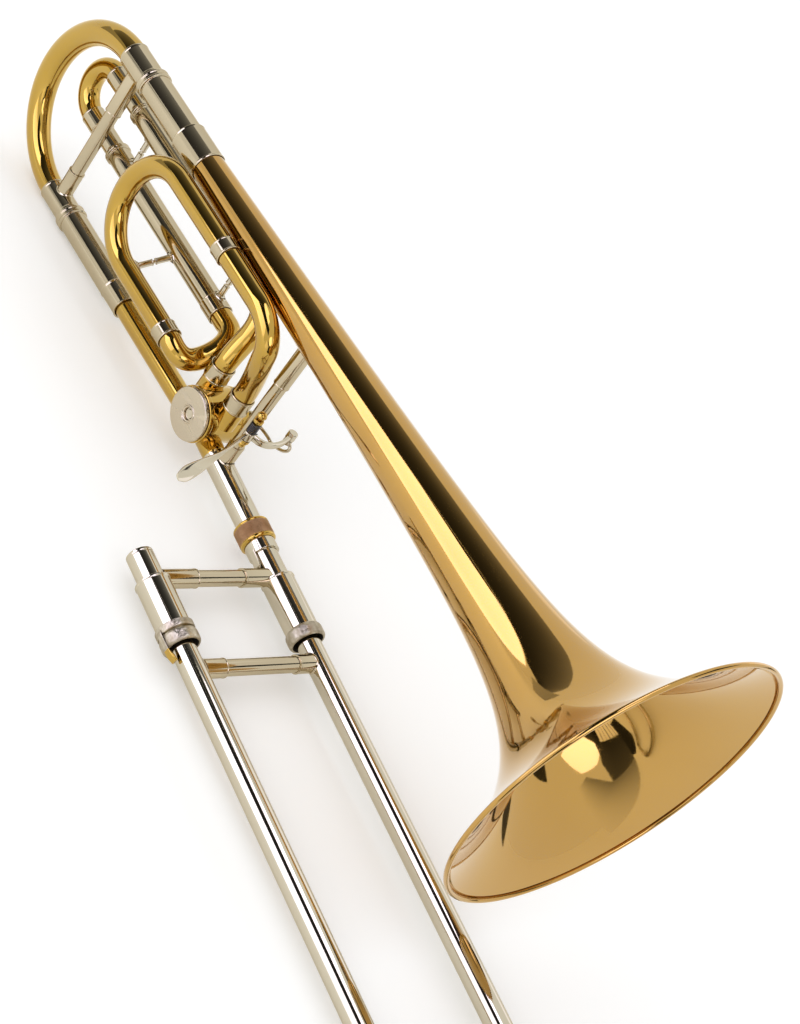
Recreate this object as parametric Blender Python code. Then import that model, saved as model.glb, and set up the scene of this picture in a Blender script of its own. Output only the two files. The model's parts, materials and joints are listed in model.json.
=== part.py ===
"""Tenor trombone with a thumb valve, lying on its hand slide as it is put down on a table.

Every piece is placed in the horn's own frame: u runs forward along the bell's axis from the tuning
slide to the bell's mouth, v runs down from the bell to the hand slide, and w runs to the player's
left. The bell's rim is at u = 0. One matrix, HORN, then sets the whole horn down on the table.
All sizes are metres.
"""
import bpy
import bmesh
from math import asin, atan2, cos, exp, pi, radians, sin, sqrt
from mathutils import Matrix, Vector

# Facets round a tube, a large turned piece, the bell and a small rod
TUBE_SIDES = 12
LARGE_SIDES = 20
BELL_SIDES = 32
ROD_SIDES = 10

# Clearances
GAP = 0.0003          # between fixed pieces that touch
RUN = 0.00012         # between a turning piece and the piece that it turns in
WALL = 0.0005         # drawn tube wall
SEAT_WALL = 0.0005    # least wall of a sleeve that is widened over a tube
BITE = 0.0004         # how far one cast shape runs into the next

# Bell
RIM_RADIUS = 0.10635
BEAD_RADIUS = 0.0016
BELL_LENGTH = 0.497
BELL_WALL = 0.0006
BELL_TAIL_RADIUS = 0.01085
BELL_TAPER = 0.0231           # radius gained for each metre of length
SLOW_FLARE = 0.01675
SLOW_FLARE_LENGTH = 0.0963
QUICK_FLARE_LENGTH = 0.0302
BELL_STATIONS = 13
BELL_CROWDING = 2.3           # how much closer the stations are near the rim
BELL_LAND = 0.0012            # rim to the last station, inside the bead
BEAD_POINTS = 7
BEAD_START = 150.0            # degrees round the bead, and the step between its points
BEAD_STEP = 50.0

# Main tuning slide: its stations follow the bell's rear end
TUNING_SPACING = 0.1195       # bell axis to lower leg
TUNING_END = -BELL_LENGTH - 0.100     # where the crook's bend begins
CROOK_RADIUS_UPPER = 0.00925
CROOK_RADIUS_LOWER = 0.00825
TUNING_INSERT = 0.060         # length of inner leg inside its outer leg
LEG_RING_START = TUNING_END + 0.0265  # rear end of the outer legs, where their rings sit
RING_LENGTH = 0.006
RING_HEIGHT = 0.0011
UPPER_INNER_RADIUS = 0.0096
LOWER_INNER_RADIUS = 0.0084
LEG_WALL = 0.0008
UPPER_LEG_END = -BELL_LENGTH - 0.0205
LOWER_LEG_END = -BELL_LENGTH - 0.003
BELL_FERRULE_END = -BELL_LENGTH + 0.0025
LOWER_FERRULE_END = -BELL_LENGTH + 0.015
LEG_BAND_STEP = 0.0003        # the lower leg's band is this much thinner than the leg
LEG_SEAT_DEPTH = 0.004        # wide bore in the leg for the gooseneck
GOOSENECK_INSET = 0.0045      # lower leg's end to the gooseneck's end
FERRULE_WALL = 0.0006
SEAT_DEPTH = 0.006            # how far a tube reaches into a ferrule
TUNING_BRACE_AT = TUNING_END + 0.011
TUNING_BRACE_UPPER_SLEEVE = 0.031
TUNING_BRACE_LOWER_SLEEVE = 0.018

# Tubes and braces
GOOSENECK_RADIUS = 0.00775
BRACE_RADIUS = 0.0047
HAND_GRIP_RADIUS = 0.0052     # the two thick braces that the hands hold
HAND_GRIP_SLEEVE_RADIUS = 0.0060
BRACE_U = -0.341              # brace between neckpipe and bell
BRACE_SLEEVE_RADIUS = 0.0054
BELL_BRACE_SLEEVES = (0.0215, 0.0445)     # at the neckpipe and at the bell
BELL_SEAT_EASE = 0.0002       # more room at the bell, which isn't a straight tube
TUNING_BRACE_RADIUS = 0.0049
TUNING_BRACE_SLEEVE_RADIUS = 0.0056

# Valve
VALVE_U = -0.3736
VALVE_V = TUNING_SPACING - 0.0135     # the gooseneck meets the rotor below its axis
ROTOR_RADIUS = 0.016
ROTOR_HALF_LENGTH = 0.012
PASSAGE_RADIUS = 0.0057
PASSAGE_HALF_ANGLE = 58.0     # degrees of the passage's bend to each side
PASSAGE_POINTS = 9
STEM_RADIUS = 0.0029
CASING_RADIUS = 0.0186
CASING_HALF_LENGTH = 0.0155
PORT_OFFSET = 0.0133          # port axis to rotor axis
KNUCKLE_RADIUS = 0.0080
KNUCKLE_REACH = 0.0235        # rotor axis to the end of a knuckle
KNUCKLE_LENGTH = 0.0155
PORT_MARGIN = 0.0006          # a port's cutter ends this far before its knuckle does
PORT_OVERSHOOT = 0.002
PORT_RADIUS = 0.0066
CAP_RADIUS = 0.0178
CAP_THICKNESS = 0.0032
CAP_RECESS_RADIUS = 0.0042
CAP_RECESS_DEPTH = 0.0014
PLATE_THICKNESS = 0.0025
CRANK = 0.010                 # stop arm's pin to rotor axis
ROTOR_TURN = radians(90.0)
STOP_ARM_THICKNESS = 0.003
STOP_HUB_RADIUS = 0.0055
STOP_ARM_START = 0.0042       # the arm's bars begin inside its hub
STOP_TAIL = 0.0155
STOP_ARM_WIDTH = 0.0040
BUMPER_RADIUS = 0.0022
BUMPER_CIRCLE = 0.0135
BUMPER_LENGTH = 0.0058
PIN_RADIUS = 0.0015
PIN_REACH = 0.0030            # of the stop arm's pin beyond the arm
SCREW_HEAD_RADIUS = 0.0042
SCREW_HEAD_EDGE = 0.0016      # height of its straight side
SCREW_HEAD_HEIGHT = 0.0024
SCREW_CROWN = 0.6             # radius of its crown, as a share

# Trigger: its heights follow the valve
HINGE_U = -0.3290
HINGE_W = -0.0135
HINGE_TOP_V = VALVE_V - 0.0440
HINGE_LOW_V = VALVE_V - 0.0220
HINGE_ROD_RADIUS = 0.0016
HINGE_BALL_RADIUS = 0.0031
# Height and radius of the points of each ball, in ball radii
TOP_BALL = ((1.75, 0.45), (1.45, 0.85), (0.9, 1.0), (0.35, 0.85), (0.0, 0.6))
LOW_BALL = ((0.0, 0.55), (0.35, 0.75), (0.9, 0.72), (1.3, 0.35))
HUB_RADIUS = 0.0036
HUB_LENGTH = 0.0060
HUB_V = VALVE_V - 0.0289
LUG_THICKNESS = 0.0022
LUG_RADIUS = 0.0034
SPINE_OFFSET = 0.0050         # hinge axis to the bracket's spine
SPINE_WIDTH = 0.0058
SPINE_THICKNESS = 0.0022
WEB_START = 0.0026            # the webs run from inside the lugs into the spine
WEB_THICKNESS = 0.0040
SADDLE_WIDTHS = (0.0100, 0.0130)
SADDLE_THICKNESS = 0.0052
TRIGGER_ARM = 0.0395          # hinge axis to the link's eye
PADDLE_REACH = 0.0720
PADDLE_WIDTH = 0.0130
PADDLE_THICKNESS = 0.0016
PADDLE_SHARES = (0.035, 0.16, 0.30, 0.42, 0.58, 0.76, 0.91, 1.0)      # places along its reach
PADDLE_FORWARD = 0.030        # how far the paddle's end lies in front of its hub
PADDLE_FORWARD_POWER = 1.25
PADDLE_BOW = 0.004            # and how far it bows forward and drops
PADDLE_TWIST = radians(48.0)  # how far its end is turned towards the thumb
PADDLE_TWIST_FROM = 0.30
LEVER_WIDTH = 0.0044
LEVER_THICKNESS = 0.0026
PADDLE_WIDTHS = (LEVER_WIDTH, LEVER_WIDTH, LEVER_WIDTH * 1.1, PADDLE_WIDTH * 0.62, PADDLE_WIDTH * 0.92,
                 PADDLE_WIDTH, PADDLE_WIDTH * 0.84, PADDLE_WIDTH * 0.38)
ARM_START = Vector((0.0018, 0.0, 0.0026))         # the driving arm, from the hub
ARM_LEAVES = Vector((0.0090, 0.0020, 0.0070))
ARM_END = Vector((0.0012, 0.0, -0.0022))          # from the eye
ARM_ARRIVES = Vector((-0.0080, 0.0, 0.0130))
ARM_STEPS = 6
ARM_TAPER = 0.04              # share of its width lost in each step
EYE_V = VALVE_V - 0.0260
EYE_U = HINGE_U - 0.0015
EYE_RADIUS = 0.0031
EYE_HEIGHT = 0.0044
EYE_PIN_START = 0.0010        # above the eye's lower face
EYE_PIN_REACH = 0.0008        # beyond the link's ring
LINK_RING_WIDTH = 0.0034
LINK_RADIUS = 0.0012
LINK_START = Vector((0.0024, 0.0, 0.0))           # from the ring's axis
LINK_LEAVES = Vector((0.0060, 0.0020, 0.0))
LINK_SAG = Vector((0.0080, 0.0050, 0.0))          # from the straight line to its lowest bend
LINK_AT_SAG = Vector((-0.0140, 0.0035, 0.0))
LINK_AFTER_SAG = Vector((-0.0060, -0.0015, 0.0))
LINK_ARRIVES = Vector((-0.0080, 0.0010, 0.0))
LINK_BUTTON_RADIUS = 0.0028
LINK_BUTTON_HEIGHT = 0.0028
SPRING_WIRE = 0.0007
SPRING_TURNS = 6
SPRING_PITCH = 0.00116
SPRING_RADIUS = 0.0030
SPRING_LEG = 0.0030
SPRING_POINTS = 8             # points in each curl

# F wrap: the near loop lies on the player's right of the bell, the far loop on the left
F_TUBE_RADIUS = 0.0076
FAR_W = 0.0178
NEAR_RIGHT_V = 0.0100
NEAR_LEFT_V = VALVE_V - 0.0205
FAR_RIGHT_V = 0.0334
FAR_LEFT_V = VALVE_V - 0.0366
F_LEG_RADIUS = 0.0081
F_LEG_WALL = 0.0006
F_RING_U = -0.5815
F_RING_HEIGHT = 0.0009
F_RING_LENGTH = 0.0035
F_LEFT_END_U = -0.4265
F_RIGHT_END_U = -0.4405
F_FERRULE_LENGTH = 0.0135
F_SLEEVE_LENGTH = 0.0100
F_FERRULE_RADIUS = 0.0086
F_CROOK_U = -0.6185
F_CROOK_FERRULE = 0.0155
F_INSERT = 0.045
F_BOW_U = -0.4855             # where the near bow's bend begins
F_BOW_APEX_U = -0.5205
F_U_BOW_U = -0.4180            # where the U bow's bend begins
F_U_BOW_LEAVES = Vector((0.0140, 0.0030, 0.0))
F_U_BOW_MIDDLE = Vector((-0.4038, VALVE_V - 0.0220, 0.0005))
F_U_BOW_WAY = Vector((0.05, -0.62, 0.78))
F_PORT_LEAD = 0.0125           # straight part of an F tube above its knuckle
F_PORT_SEAT = 0.0016           # knuckle's end to the F tube's end
F_PORT_SLEEVE = 0.0115         # length of the ferrule over that joint
F_LEAD = 0.0120                # straight part of an F tube before a sleeve
F_MIDDLE_U = -0.4220
F_NEAR_FERRULE_U = -0.4245
STAY_NEAR_U = -0.4830
STAY_LEGS_U = -0.5620
STAY_FRONT_U = -0.4365
STAY_FOOT_RADIUS = 0.0032
STAY_FOOT_HEIGHT = 0.0011
STAY_FOOT_BITE = 0.0010        # before the foot is cut to its tube
STAY_SLEEVE_RADIUS = 0.0022
STAY_WAIST_RADIUS = 0.0012
STAY_WAIST_HALF = 0.0011
F_PORT_V = VALVE_V - 0.0195   # where the F tubes leave their knuckles
F_BEND = Vector((-0.3525, 0.0300, -0.0170))       # middle of the front tube's bend beside the bell
F_BEND_WAY = Vector((0.02, -1.0, -0.25))
F_TOP_U = -0.3800             # where its straight part beside the bell ends
F_TOP_V = 0.0100
F_TOP_CLEAR = 0.0007          # bell to tube there
F_REAR_BEND = Vector((-0.3895, 0.0525, 0.0070))
F_REAR_BEND_WAY = Vector((-0.08, -1.0, 0.30))
F_REAR_TOP_U = -0.4180
F_CURVES = {"front_down": 0.014, "beside": 0.012, "over_top": 0.015, "along": 0.008,
            "u_middle": 0.012, "u_after": 0.010, "rear_down": 0.006, "rear_middle": 0.014, "rear_top": 0.018}

# Hand slide: stations run forward along its tubes from SLIDE_POINT, on the lower tube
SLIDE_POINT = Vector((-0.200, TUNING_SPACING + 0.009, -0.008))
SLIDE_SPLAY = 0.056           # fall of the slide for each metre forward
SLIDE_YAW = -0.050            # shift to the player's right for each metre forward
SLIDE_SPACING = 0.098
SLIDE_TRAVEL = 0.580
INNER_TUBE_RADIUS = 0.0069
INNER_TUBE_WALL = 0.0005
INNER_TUBE_END = SLIDE_TRAVEL + 0.018   # so much stays in the outer tube at full travel
OUTER_TUBE_RADIUS = 0.00775
OUTER_TUBE_WALL = 0.0004
OUTER_TUBE_START = -0.0095
OUTER_TUBE_END = INNER_TUBE_END + 0.005
BOW_LEAD = 0.003              # straight part of the bow behind its bend
NECKPIPE_RADIUS = 0.0087
NECKPIPE_WALL = 0.0008
NECKPIPE_END = -0.0860
LOCK_NUT_START = -0.0940
LOCK_NUT_END = -0.0790
LOCK_NUT_RADIUS = 0.0121
LOCK_NUT_TEETH = 36
NUT_RIM = 0.0022              # width of the plain rims beside the knurl
NUT_RIM_DROP = 0.0006
NUT_CHAMFER = 0.0004
KNURL_DEPTH = 0.022           # as a share of the radius
TENON_RADIUS = 0.0070
TENON_TAPER = 0.0003
TENON_WALL = 0.0008
THREAD_EASE = 0.0001
TENON_REACH = 0.022
TENON_COLLAR_RADIUS = 0.0102
TENON_COLLAR_END = -0.0710
RECEIVER_RADIUS = 0.0086
RECEIVER_START = -0.0720
RECEIVER_CHAMFER = 0.0006
RECEIVER_LIP = 0.0010
SHANK_MOUTH_RADIUS = 0.00640
SHANK_BOTTOM_RADIUS = 0.00600
LEADPIPE_RADIUS = 0.0060
LEADPIPE_WALL = 0.0005
LEADPIPE_LENGTH = 0.220
BARREL_START = -0.0510
BARREL_END = -0.0125
BARREL_RADIUS = 0.01075
BARREL_WALL = 0.0008
BARREL_RING_RADIUS = 0.0113
BARREL_RING_LENGTH = 0.0018
BARREL_BACK = 0.006           # thick rear wall that holds the inner tube
COLLAR_RADIUS = 0.0121
COLLAR_END = -0.0035
COLLAR_SLOPE = 0.0012
COLLAR_CHAMFER = 0.0008
HAND_BRACE_AT = -0.0535
HAND_BRACE_SLEEVES = (0.0200, 0.0250)         # at the lower and at the upper tube
HAND_BRACE_CUT = 0.0095       # room for the barrel's ring, from the barrel's rear end
COLLAR_CUT = 0.010            # and for the tenon's collar
OUTER_BRACE_AT = 0.0115
OUTER_BRACE_SLEEVES = (0.0115, 0.0150)
BOW_FERRULE_LENGTH = 0.028
BOW_FERRULE_RADIUS = 0.0088
BOW_SEAT = 0.0015              # how far the outer tubes' ferrules reach over the bow
GUARD_RADIUS = 0.0050
GUARD_HEIGHT = 0.0060
GUARD_BITE = 0.0020           # before the guard is cut to the bow
TIP_RADIUS = 0.0060
TIP_LENGTH = 0.0120
TIP_SHAPE = ((0.0, 0.86), (0.0012, 1.0))          # height from its foot, radius in tip radii
TIP_EDGE = 0.0015
TIP_FACE = 0.8

# Water key, in the slide's plane
KEY_HUB_RADIUS = 0.0027
KEY_HUB_LENGTH = 0.0070
KEY_PIVOT_STATION = 0.0120    # past the bow's beginning
KEY_PIVOT_OFFSET = 0.0180     # from the lower tube's axis
KEY_TAIL = 0.034
NIPPLE_ANGLE = radians(-38.0)
NIPPLE_RADIUS = 0.0038
NIPPLE_LENGTH = 0.0042
NIPPLE_BITE = 0.0010          # into the bow's wall
NIPPLE_BORE = 0.0019
PAD_RADIUS = 0.0046
PAD_THICKNESS = 0.0030
KEY_LUG_THICKNESS = 0.0018
KEY_LUG_FOOT = 0.62           # height of a lug's foot in tube radii
KEY_LUG_TOP = 0.0024          # past the pin
KEY_LUG_WIDTH = 0.0052
KEY_BORE = 0.0011
KEY_PIN_EASE = 0.0001
KEY_PIN_HALF = 0.0062
KEY_ARM_WIDTHS = (0.0050, 0.0060)
KEY_ARM_THICKNESS = 0.0018
KEY_HUB_BITE = 0.0006
KEY_TAIL_SHAPE = ((0.5, 0.0018), (0.75, 0.0046), (1.0, 0.0052))       # share of its length, rise
KEY_TAIL_WIDTHS = (0.0048, 0.0050, 0.0088, 0.0080)
KEY_TAIL_THICKNESS = 0.0016

# Slide lock: a ring behind the upper collar, with a hook over it
LOCK_RING_START = -0.0052     # from the barrel's end
LOCK_RING_END = -0.0006
LOCK_RING_WALL = 0.0009
LOCK_HOOK_THICKNESS = 0.0016
LOCK_HOOK_WIDTHS = (0.0040, 0.0042, 0.0042, 0.0042, 0.0036)
LOCK_HOOK_ROOT = (-0.0030, 0.0004)                # from the barrel's end, from the ring's bore
LOCK_HOOK_SHOULDER = -0.0010                      # from the barrel's end
LOCK_HOOK_CLEAR = 0.0016                          # its middle above the collar
LOCK_HOOK_TIP = ((0.0050, -0.0006), (0.009075, -0.0020))   # past the collar's end, from its radius

# Reach of the cutters that hollow a brace's and a stay's feet
BRACE_CUTTER = 0.030
STAY_CUTTER = 0.012

BRASS = (0.70, 0.42, 0.10)
GOLD_BRASS = (0.72, 0.37, 0.10)
NICKEL = (0.72, 0.66, 0.55)
DARK_STEEL = (0.05, 0.05, 0.05)
RUBBER = (0.02, 0.02, 0.02)

U_AXIS = Vector((1.0, 0.0, 0.0))
V_AXIS = Vector((0.0, 1.0, 0.0))
W_AXIS = Vector((0.0, 0.0, 1.0))
SLIDE_AXIS = Vector((1.0, SLIDE_SPLAY, SLIDE_YAW)).normalized()
SLIDE_ACROSS = (-W_AXIS + W_AXIS.dot(SLIDE_AXIS) * SLIDE_AXIS).normalized()
SLIDE_BELOW = SLIDE_ACROSS.cross(SLIDE_AXIS).normalized()


def slide_point(station, across=0.0, below=0.0):
    """A place on the hand slide: along the tubes, from the lower to the upper tube, and below them."""
    return SLIDE_POINT + station * SLIDE_AXIS + across * SLIDE_ACROSS + below * SLIDE_BELOW


def passing(radius, clearance=RUN, sides=TUBE_SIDES):
    """Radius of a faceted bore that a round piece of this radius can turn in."""
    return (radius + clearance) / cos(pi / sides)


def rest_matrix():
    """Sets the horn down: its lower tuning leg's ring and its bow guard both touch the table."""
    ring = LOWER_INNER_RADIUS + GAP + LEG_WALL + RING_HEIGHT
    rear = Vector((LEG_RING_START, TUNING_SPACING, 0.0))
    front = slide_point(OUTER_TUBE_END)
    drop = (front.y + BOW_FERRULE_RADIUS) - (rear.y + ring)
    pitch = atan2(drop, front.x - rear.x)
    axes = Matrix(((0.0, 0.0, 1.0), (-1.0, 0.0, 0.0), (0.0, -1.0, 0.0))).to_4x4()
    turned_down = Matrix.Rotation(-pitch, 4, "X") @ axes
    crook_centre = turned_down @ Vector((TUNING_END, TUNING_SPACING / 2.0, 0.0))
    tip_front = turned_down @ slide_point(bow_front() + TIP_LENGTH, SLIDE_SPACING / 2.0)
    rear_y = crook_centre.y + TUNING_SPACING / 2.0 + CROOK_RADIUS_UPPER
    low_z = (turned_down @ rear).z - ring
    right_x = (turned_down @ slide_point(OUTER_TUBE_END, SLIDE_SPACING)).x - OUTER_TUBE_RADIUS
    left_x = RIM_RADIUS + BEAD_RADIUS
    middle = Vector(((left_x + right_x) / 2.0, (rear_y + tip_front.y) / 2.0, low_z))
    return Matrix.Translation(-middle) @ turned_down


def bow_front():
    """Station of the slide bow's foremost point."""
    return OUTER_TUBE_END + BOW_LEAD + SLIDE_SPACING / 2.0 + OUTER_TUBE_RADIUS


HORN = rest_matrix()


def material(name, colour, roughness, metallic):
    """A plain surface with the photographed colour."""
    surface = bpy.data.materials.new(name)
    surface.use_nodes = True
    shader = surface.node_tree.nodes["Principled BSDF"]
    shader.inputs["Base Color"].default_value = (*colour, 1.0)
    shader.inputs["Roughness"].default_value = roughness
    shader.inputs["Metallic"].default_value = metallic
    return surface


def ring(centre, axis, radius, sides, up):
    """Points of one round section, the first in the direction of up."""
    side = (up - up.dot(axis) * axis).normalized()
    other = axis.cross(side)
    points = []
    for index in range(sides):
        angle = 2.0 * pi * index / sides
        points.append(centre + radius * (cos(angle) * side + sin(angle) * other))
    return points


def skin(rings, closed):
    """A closed surface through rings of points; its last ring joins the first or both get caps."""
    mesh = bmesh.new()
    loops = [[mesh.verts.new(point) for point in points] for points in rings]
    pairs = list(zip(loops, loops[1:]))
    if closed:
        pairs.append((loops[-1], loops[0]))
    else:
        mesh.faces.new(loops[0])
        mesh.faces.new(loops[-1])
    count = len(loops[0])
    for first, second in pairs:
        for index in range(count):
            following = (index + 1) % count
            mesh.faces.new((first[index], first[following], second[following], second[index]))
    bmesh.ops.recalc_face_normals(mesh, faces=mesh.faces)
    return mesh


def piece(name, mesh, surface, pivot=Vector((0.0, 0.0, 0.0))):
    """Puts a surface given in the horn's frame into the scene, with its origin on its pivot."""
    bmesh.ops.translate(mesh, verts=mesh.verts, vec=-pivot)
    data = bpy.data.meshes.new(name)
    mesh.to_mesh(data)
    mesh.free()
    data.materials.append(surface)
    data.shade_smooth()
    data.set_sharp_from_angle(angle=radians(35.0))
    placed = bpy.data.objects.new(name, data)
    bpy.context.scene.collection.objects.link(placed)
    placed.matrix_world = HORN @ Matrix.Translation(pivot)
    return placed


def turned(profile, base, axis, sides=TUBE_SIDES, hollow=True, up=W_AXIS):
    """A piece turned about an axis; profile lists (distance along the axis, radius) round its section."""
    rings = [ring(base + along * axis, axis, radius, sides, up) for along, radius in profile]
    return skin(rings, hollow)


def pipe_profile(start, end, outer, inner):
    """Section of a plain tube."""
    return [(start, outer), (end, outer), (end, inner), (start, inner)]


def swept(path, outer, inner=None, sides=TUBE_SIDES, up=W_AXIS):
    """A tube along a path; radii are single values or run from the first value to the second."""
    def blend(values, share):
        if isinstance(values, tuple):
            return values[0] + (values[1] - values[0]) * share
        return values

    rings = []
    bores = []
    side = up
    last = len(path) - 1
    for index, point in enumerate(path):
        before = path[max(index - 1, 0)]
        after = path[min(index + 1, last)]
        axis = (after - before).normalized()
        side = (side - side.dot(axis) * axis).normalized()
        rings.append(ring(point, axis, blend(outer, index / last), sides, side))
        if inner is not None:
            bores.append(ring(point, axis, blend(inner, index / last), sides, side))
    if inner is None:
        return skin(rings, False)
    return skin(rings + bores[::-1], True)


def half_turn(start, end, forward, steps, stretch=1.0):
    """A U bend from start to end that first runs in the direction of forward."""
    centre = (start + end) / 2.0
    arm = start - centre
    out = forward.normalized() * arm.length * stretch
    points = []
    for index in range(steps + 1):
        angle = pi * index / steps
        points.append(centre + cos(angle) * arm + sin(angle) * out)
    return points


def flowing(start, start_way, end, end_way, steps):
    """A smooth path from start to end, leaving along start_way and arriving along end_way."""
    controls = (start, start + start_way, end - end_way, end)
    points = []
    for index in range(steps + 1):
        t = index / steps
        weights = ((1 - t) ** 3, 3 * t * (1 - t) ** 2, 3 * t * t * (1 - t), t ** 3)
        points.append(sum((w * p for w, p in zip(weights, controls)), Vector((0.0, 0.0, 0.0))))
    return points


def bar(path, widths, thickness, width_axis, twists=None):
    """A flat bar along a path: its width lies along width_axis, and widths and twists are for each point."""
    rings = []
    last = len(path) - 1
    for index, point in enumerate(path):
        axis = (path[min(index + 1, last)] - path[max(index - 1, 0)]).normalized()
        across = (width_axis - width_axis.dot(axis) * axis).normalized()
        if twists:
            across = across * cos(twists[index]) + axis.cross(across) * sin(twists[index])
        face = axis.cross(across) * thickness / 2.0
        half = across * widths[index] / 2.0
        edge = face * 0.45
        rim = half * 0.92
        rings.append([point + rim + face, point - rim + face, point - half + edge, point - half - edge,
                      point - rim - face, point + rim - face, point + half - edge, point + half + edge])
    return skin(rings, False)


def helper(name, mesh):
    """A cutter or an added shape that is not itself a piece."""
    shape = piece(name, mesh, bpy.data.materials["helper"])
    shape.hide_render = True
    shape.hide_viewport = False
    shape.display_type = "WIRE"
    return shape


def combine(target, name, mesh, operation):
    """Adds a shape to a piece, or cuts it away."""
    modifier = target.modifiers.new(name, "BOOLEAN")
    modifier.operation = operation
    modifier.solver = "EXACT"
    modifier.object = helper(target.name + "_" + name, mesh)


def add(target, name, mesh):
    """Joins a shape to a piece."""
    combine(target, name, mesh, "UNION")


def cut(target, name, mesh):
    """Cuts a shape away from a piece."""
    combine(target, name, mesh, "DIFFERENCE")


def rod(start, end, radius, sides=ROD_SIDES, up=None):
    """A plain round rod."""
    if up is None:
        up = (end - start).orthogonal()
    return swept([start, end], radius, None, sides, up)


def tube_cutter(point, axis, radius, reach=BRACE_CUTTER):
    """A rod that takes away the room of a tube, with the usual gap round it."""
    size = passing(radius, GAP, LARGE_SIDES)
    return rod(point - axis * reach, point + axis * reach, size, LARGE_SIDES, axis.orthogonal())


def brace(name, start, end, radius, sleeve_radius, sleeves, hosts, surface):
    """A brace with a sleeve at each end, hollowed at its ends to sit on the host tubes."""
    axis = (end - start).normalized()
    length = (end - start).length
    profile = [(0.0, sleeve_radius), (sleeves[0], sleeve_radius), (sleeves[0], radius),
               (length - sleeves[1], radius), (length - sleeves[1], sleeve_radius),
               (length, sleeve_radius)]
    made = piece(name, turned(profile, start, axis, TUBE_SIDES, False, axis.orthogonal()), surface)
    for index, (point, way, host_radius) in enumerate(hosts):
        cut(made, "seat_%d" % index, tube_cutter(point, way, host_radius))
    return made


def bell_radius(distance):
    """Outer radius of the bell at a distance behind its rim."""
    quick = RIM_RADIUS - BELL_TAIL_RADIUS - BELL_TAPER * BELL_LENGTH - SLOW_FLARE
    return (BELL_TAIL_RADIUS + BELL_TAPER * (BELL_LENGTH - distance)
            + SLOW_FLARE * exp(-distance / SLOW_FLARE_LENGTH)
            + quick * exp(-distance / QUICK_FLARE_LENGTH))


def bell_slope(distance):
    """Change of the bell's radius for each metre towards the rim."""
    step = 0.0001
    return (bell_radius(distance - step) - bell_radius(distance + step)) / (2.0 * step)


def sleeve_radius():
    """Outer radius of a ferrule on the F tubing."""
    return passing(F_TUBE_RADIUS, GAP) + FERRULE_WALL


def beside_bell(u, v, radius, clearance):
    """How far to the side a round piece at u and v has to be, to clear the bell."""
    reach = bell_radius(-u) + radius + clearance
    return -sqrt(reach ** 2 - v ** 2)


# The near loop stands as close to the bell as the front end of its middle ferrule lets it
NEAR_W = beside_bell(F_MIDDLE_U + F_SLEEVE_LENGTH / 2.0, NEAR_RIGHT_V, sleeve_radius(), GAP)
F_TOP = Vector((F_TOP_U, F_TOP_V, beside_bell(F_TOP_U, F_TOP_V, F_TUBE_RADIUS, F_TOP_CLEAR)))


def make_bell(surface):
    """The bell: one sheet, flared by the sum of a slow and a quick curve, wired at its rim."""
    outer = []
    inner = []
    for index in range(BELL_STATIONS + 1):
        share = 1.0 - index / BELL_STATIONS
        distance = (BELL_LENGTH - BELL_LAND) * share ** BELL_CROWDING + BELL_LAND
        radius = bell_radius(distance)
        slope = bell_slope(distance)
        tilt = sqrt(1.0 + slope * slope)
        outer.append((-distance, radius))
        inner.append((-distance + BELL_WALL * slope / tilt, radius - BELL_WALL / tilt))
    inner[0] = (-BELL_LENGTH, inner[0][1])
    bead = []
    for index in range(BEAD_POINTS):
        angle = radians(BEAD_START - index * BEAD_STEP)
        bead.append((BEAD_RADIUS * cos(angle), RIM_RADIUS + BEAD_RADIUS * sin(angle)))
    profile = outer + bead + inner[::-1]
    return piece("bell", turned(profile, Vector((0.0, 0.0, 0.0)), U_AXIS, BELL_SIDES), surface)


def outer_leg(name, v, inner_radius, end, surface, band_end=None):
    """An outer tuning leg with a ring at its rear end, and a band over its front joint."""
    bore = inner_radius + GAP
    sleeve = bore + LEG_WALL
    profile = [(LEG_RING_START, sleeve + RING_HEIGHT), (LEG_RING_START + RING_LENGTH, sleeve + RING_HEIGHT),
               (LEG_RING_START + RING_LENGTH, sleeve)]
    if band_end is None:
        profile += [(end, sleeve), (end, bore)]
    else:
        seat = GOOSENECK_RADIUS + GAP
        band = sleeve - LEG_BAND_STEP
        profile += [(end, sleeve), (end, band), (band_end, band), (band_end, seat),
                    (end + LEG_SEAT_DEPTH, seat), (end, bore)]
    profile.append((LEG_RING_START, bore))
    return piece(name, turned(profile, Vector((0.0, v, 0.0)), U_AXIS), surface)


def make_bell_section(brass, gold, nickel):
    """Bell, outer tuning legs and the tube down to the valve."""
    make_bell(gold)
    upper_sleeve = UPPER_INNER_RADIUS + GAP + LEG_WALL
    outer_leg("upper_outer_leg", 0.0, UPPER_INNER_RADIUS, UPPER_LEG_END + SEAT_DEPTH, nickel)
    ferrule_bore = passing(max(upper_sleeve, bell_radius(BELL_LENGTH - SEAT_DEPTH)), GAP)
    profile = pipe_profile(UPPER_LEG_END, BELL_FERRULE_END + SEAT_DEPTH,
                           ferrule_bore + FERRULE_WALL, ferrule_bore)
    piece("bell_ferrule", turned(profile, Vector((0.0, 0.0, 0.0)), U_AXIS, LARGE_SIDES), nickel)
    outer_leg("lower_outer_leg", TUNING_SPACING, LOWER_INNER_RADIUS, LOWER_LEG_END, nickel,
              LOWER_FERRULE_END)
    gooseneck_start = LOWER_LEG_END + GOOSENECK_INSET
    gooseneck_end = VALVE_U - KNUCKLE_REACH - GAP
    profile = pipe_profile(gooseneck_start, gooseneck_end, GOOSENECK_RADIUS, GOOSENECK_RADIUS - WALL)
    piece("gooseneck", turned(profile, Vector((0.0, TUNING_SPACING, 0.0)), U_AXIS), brass)


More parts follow.
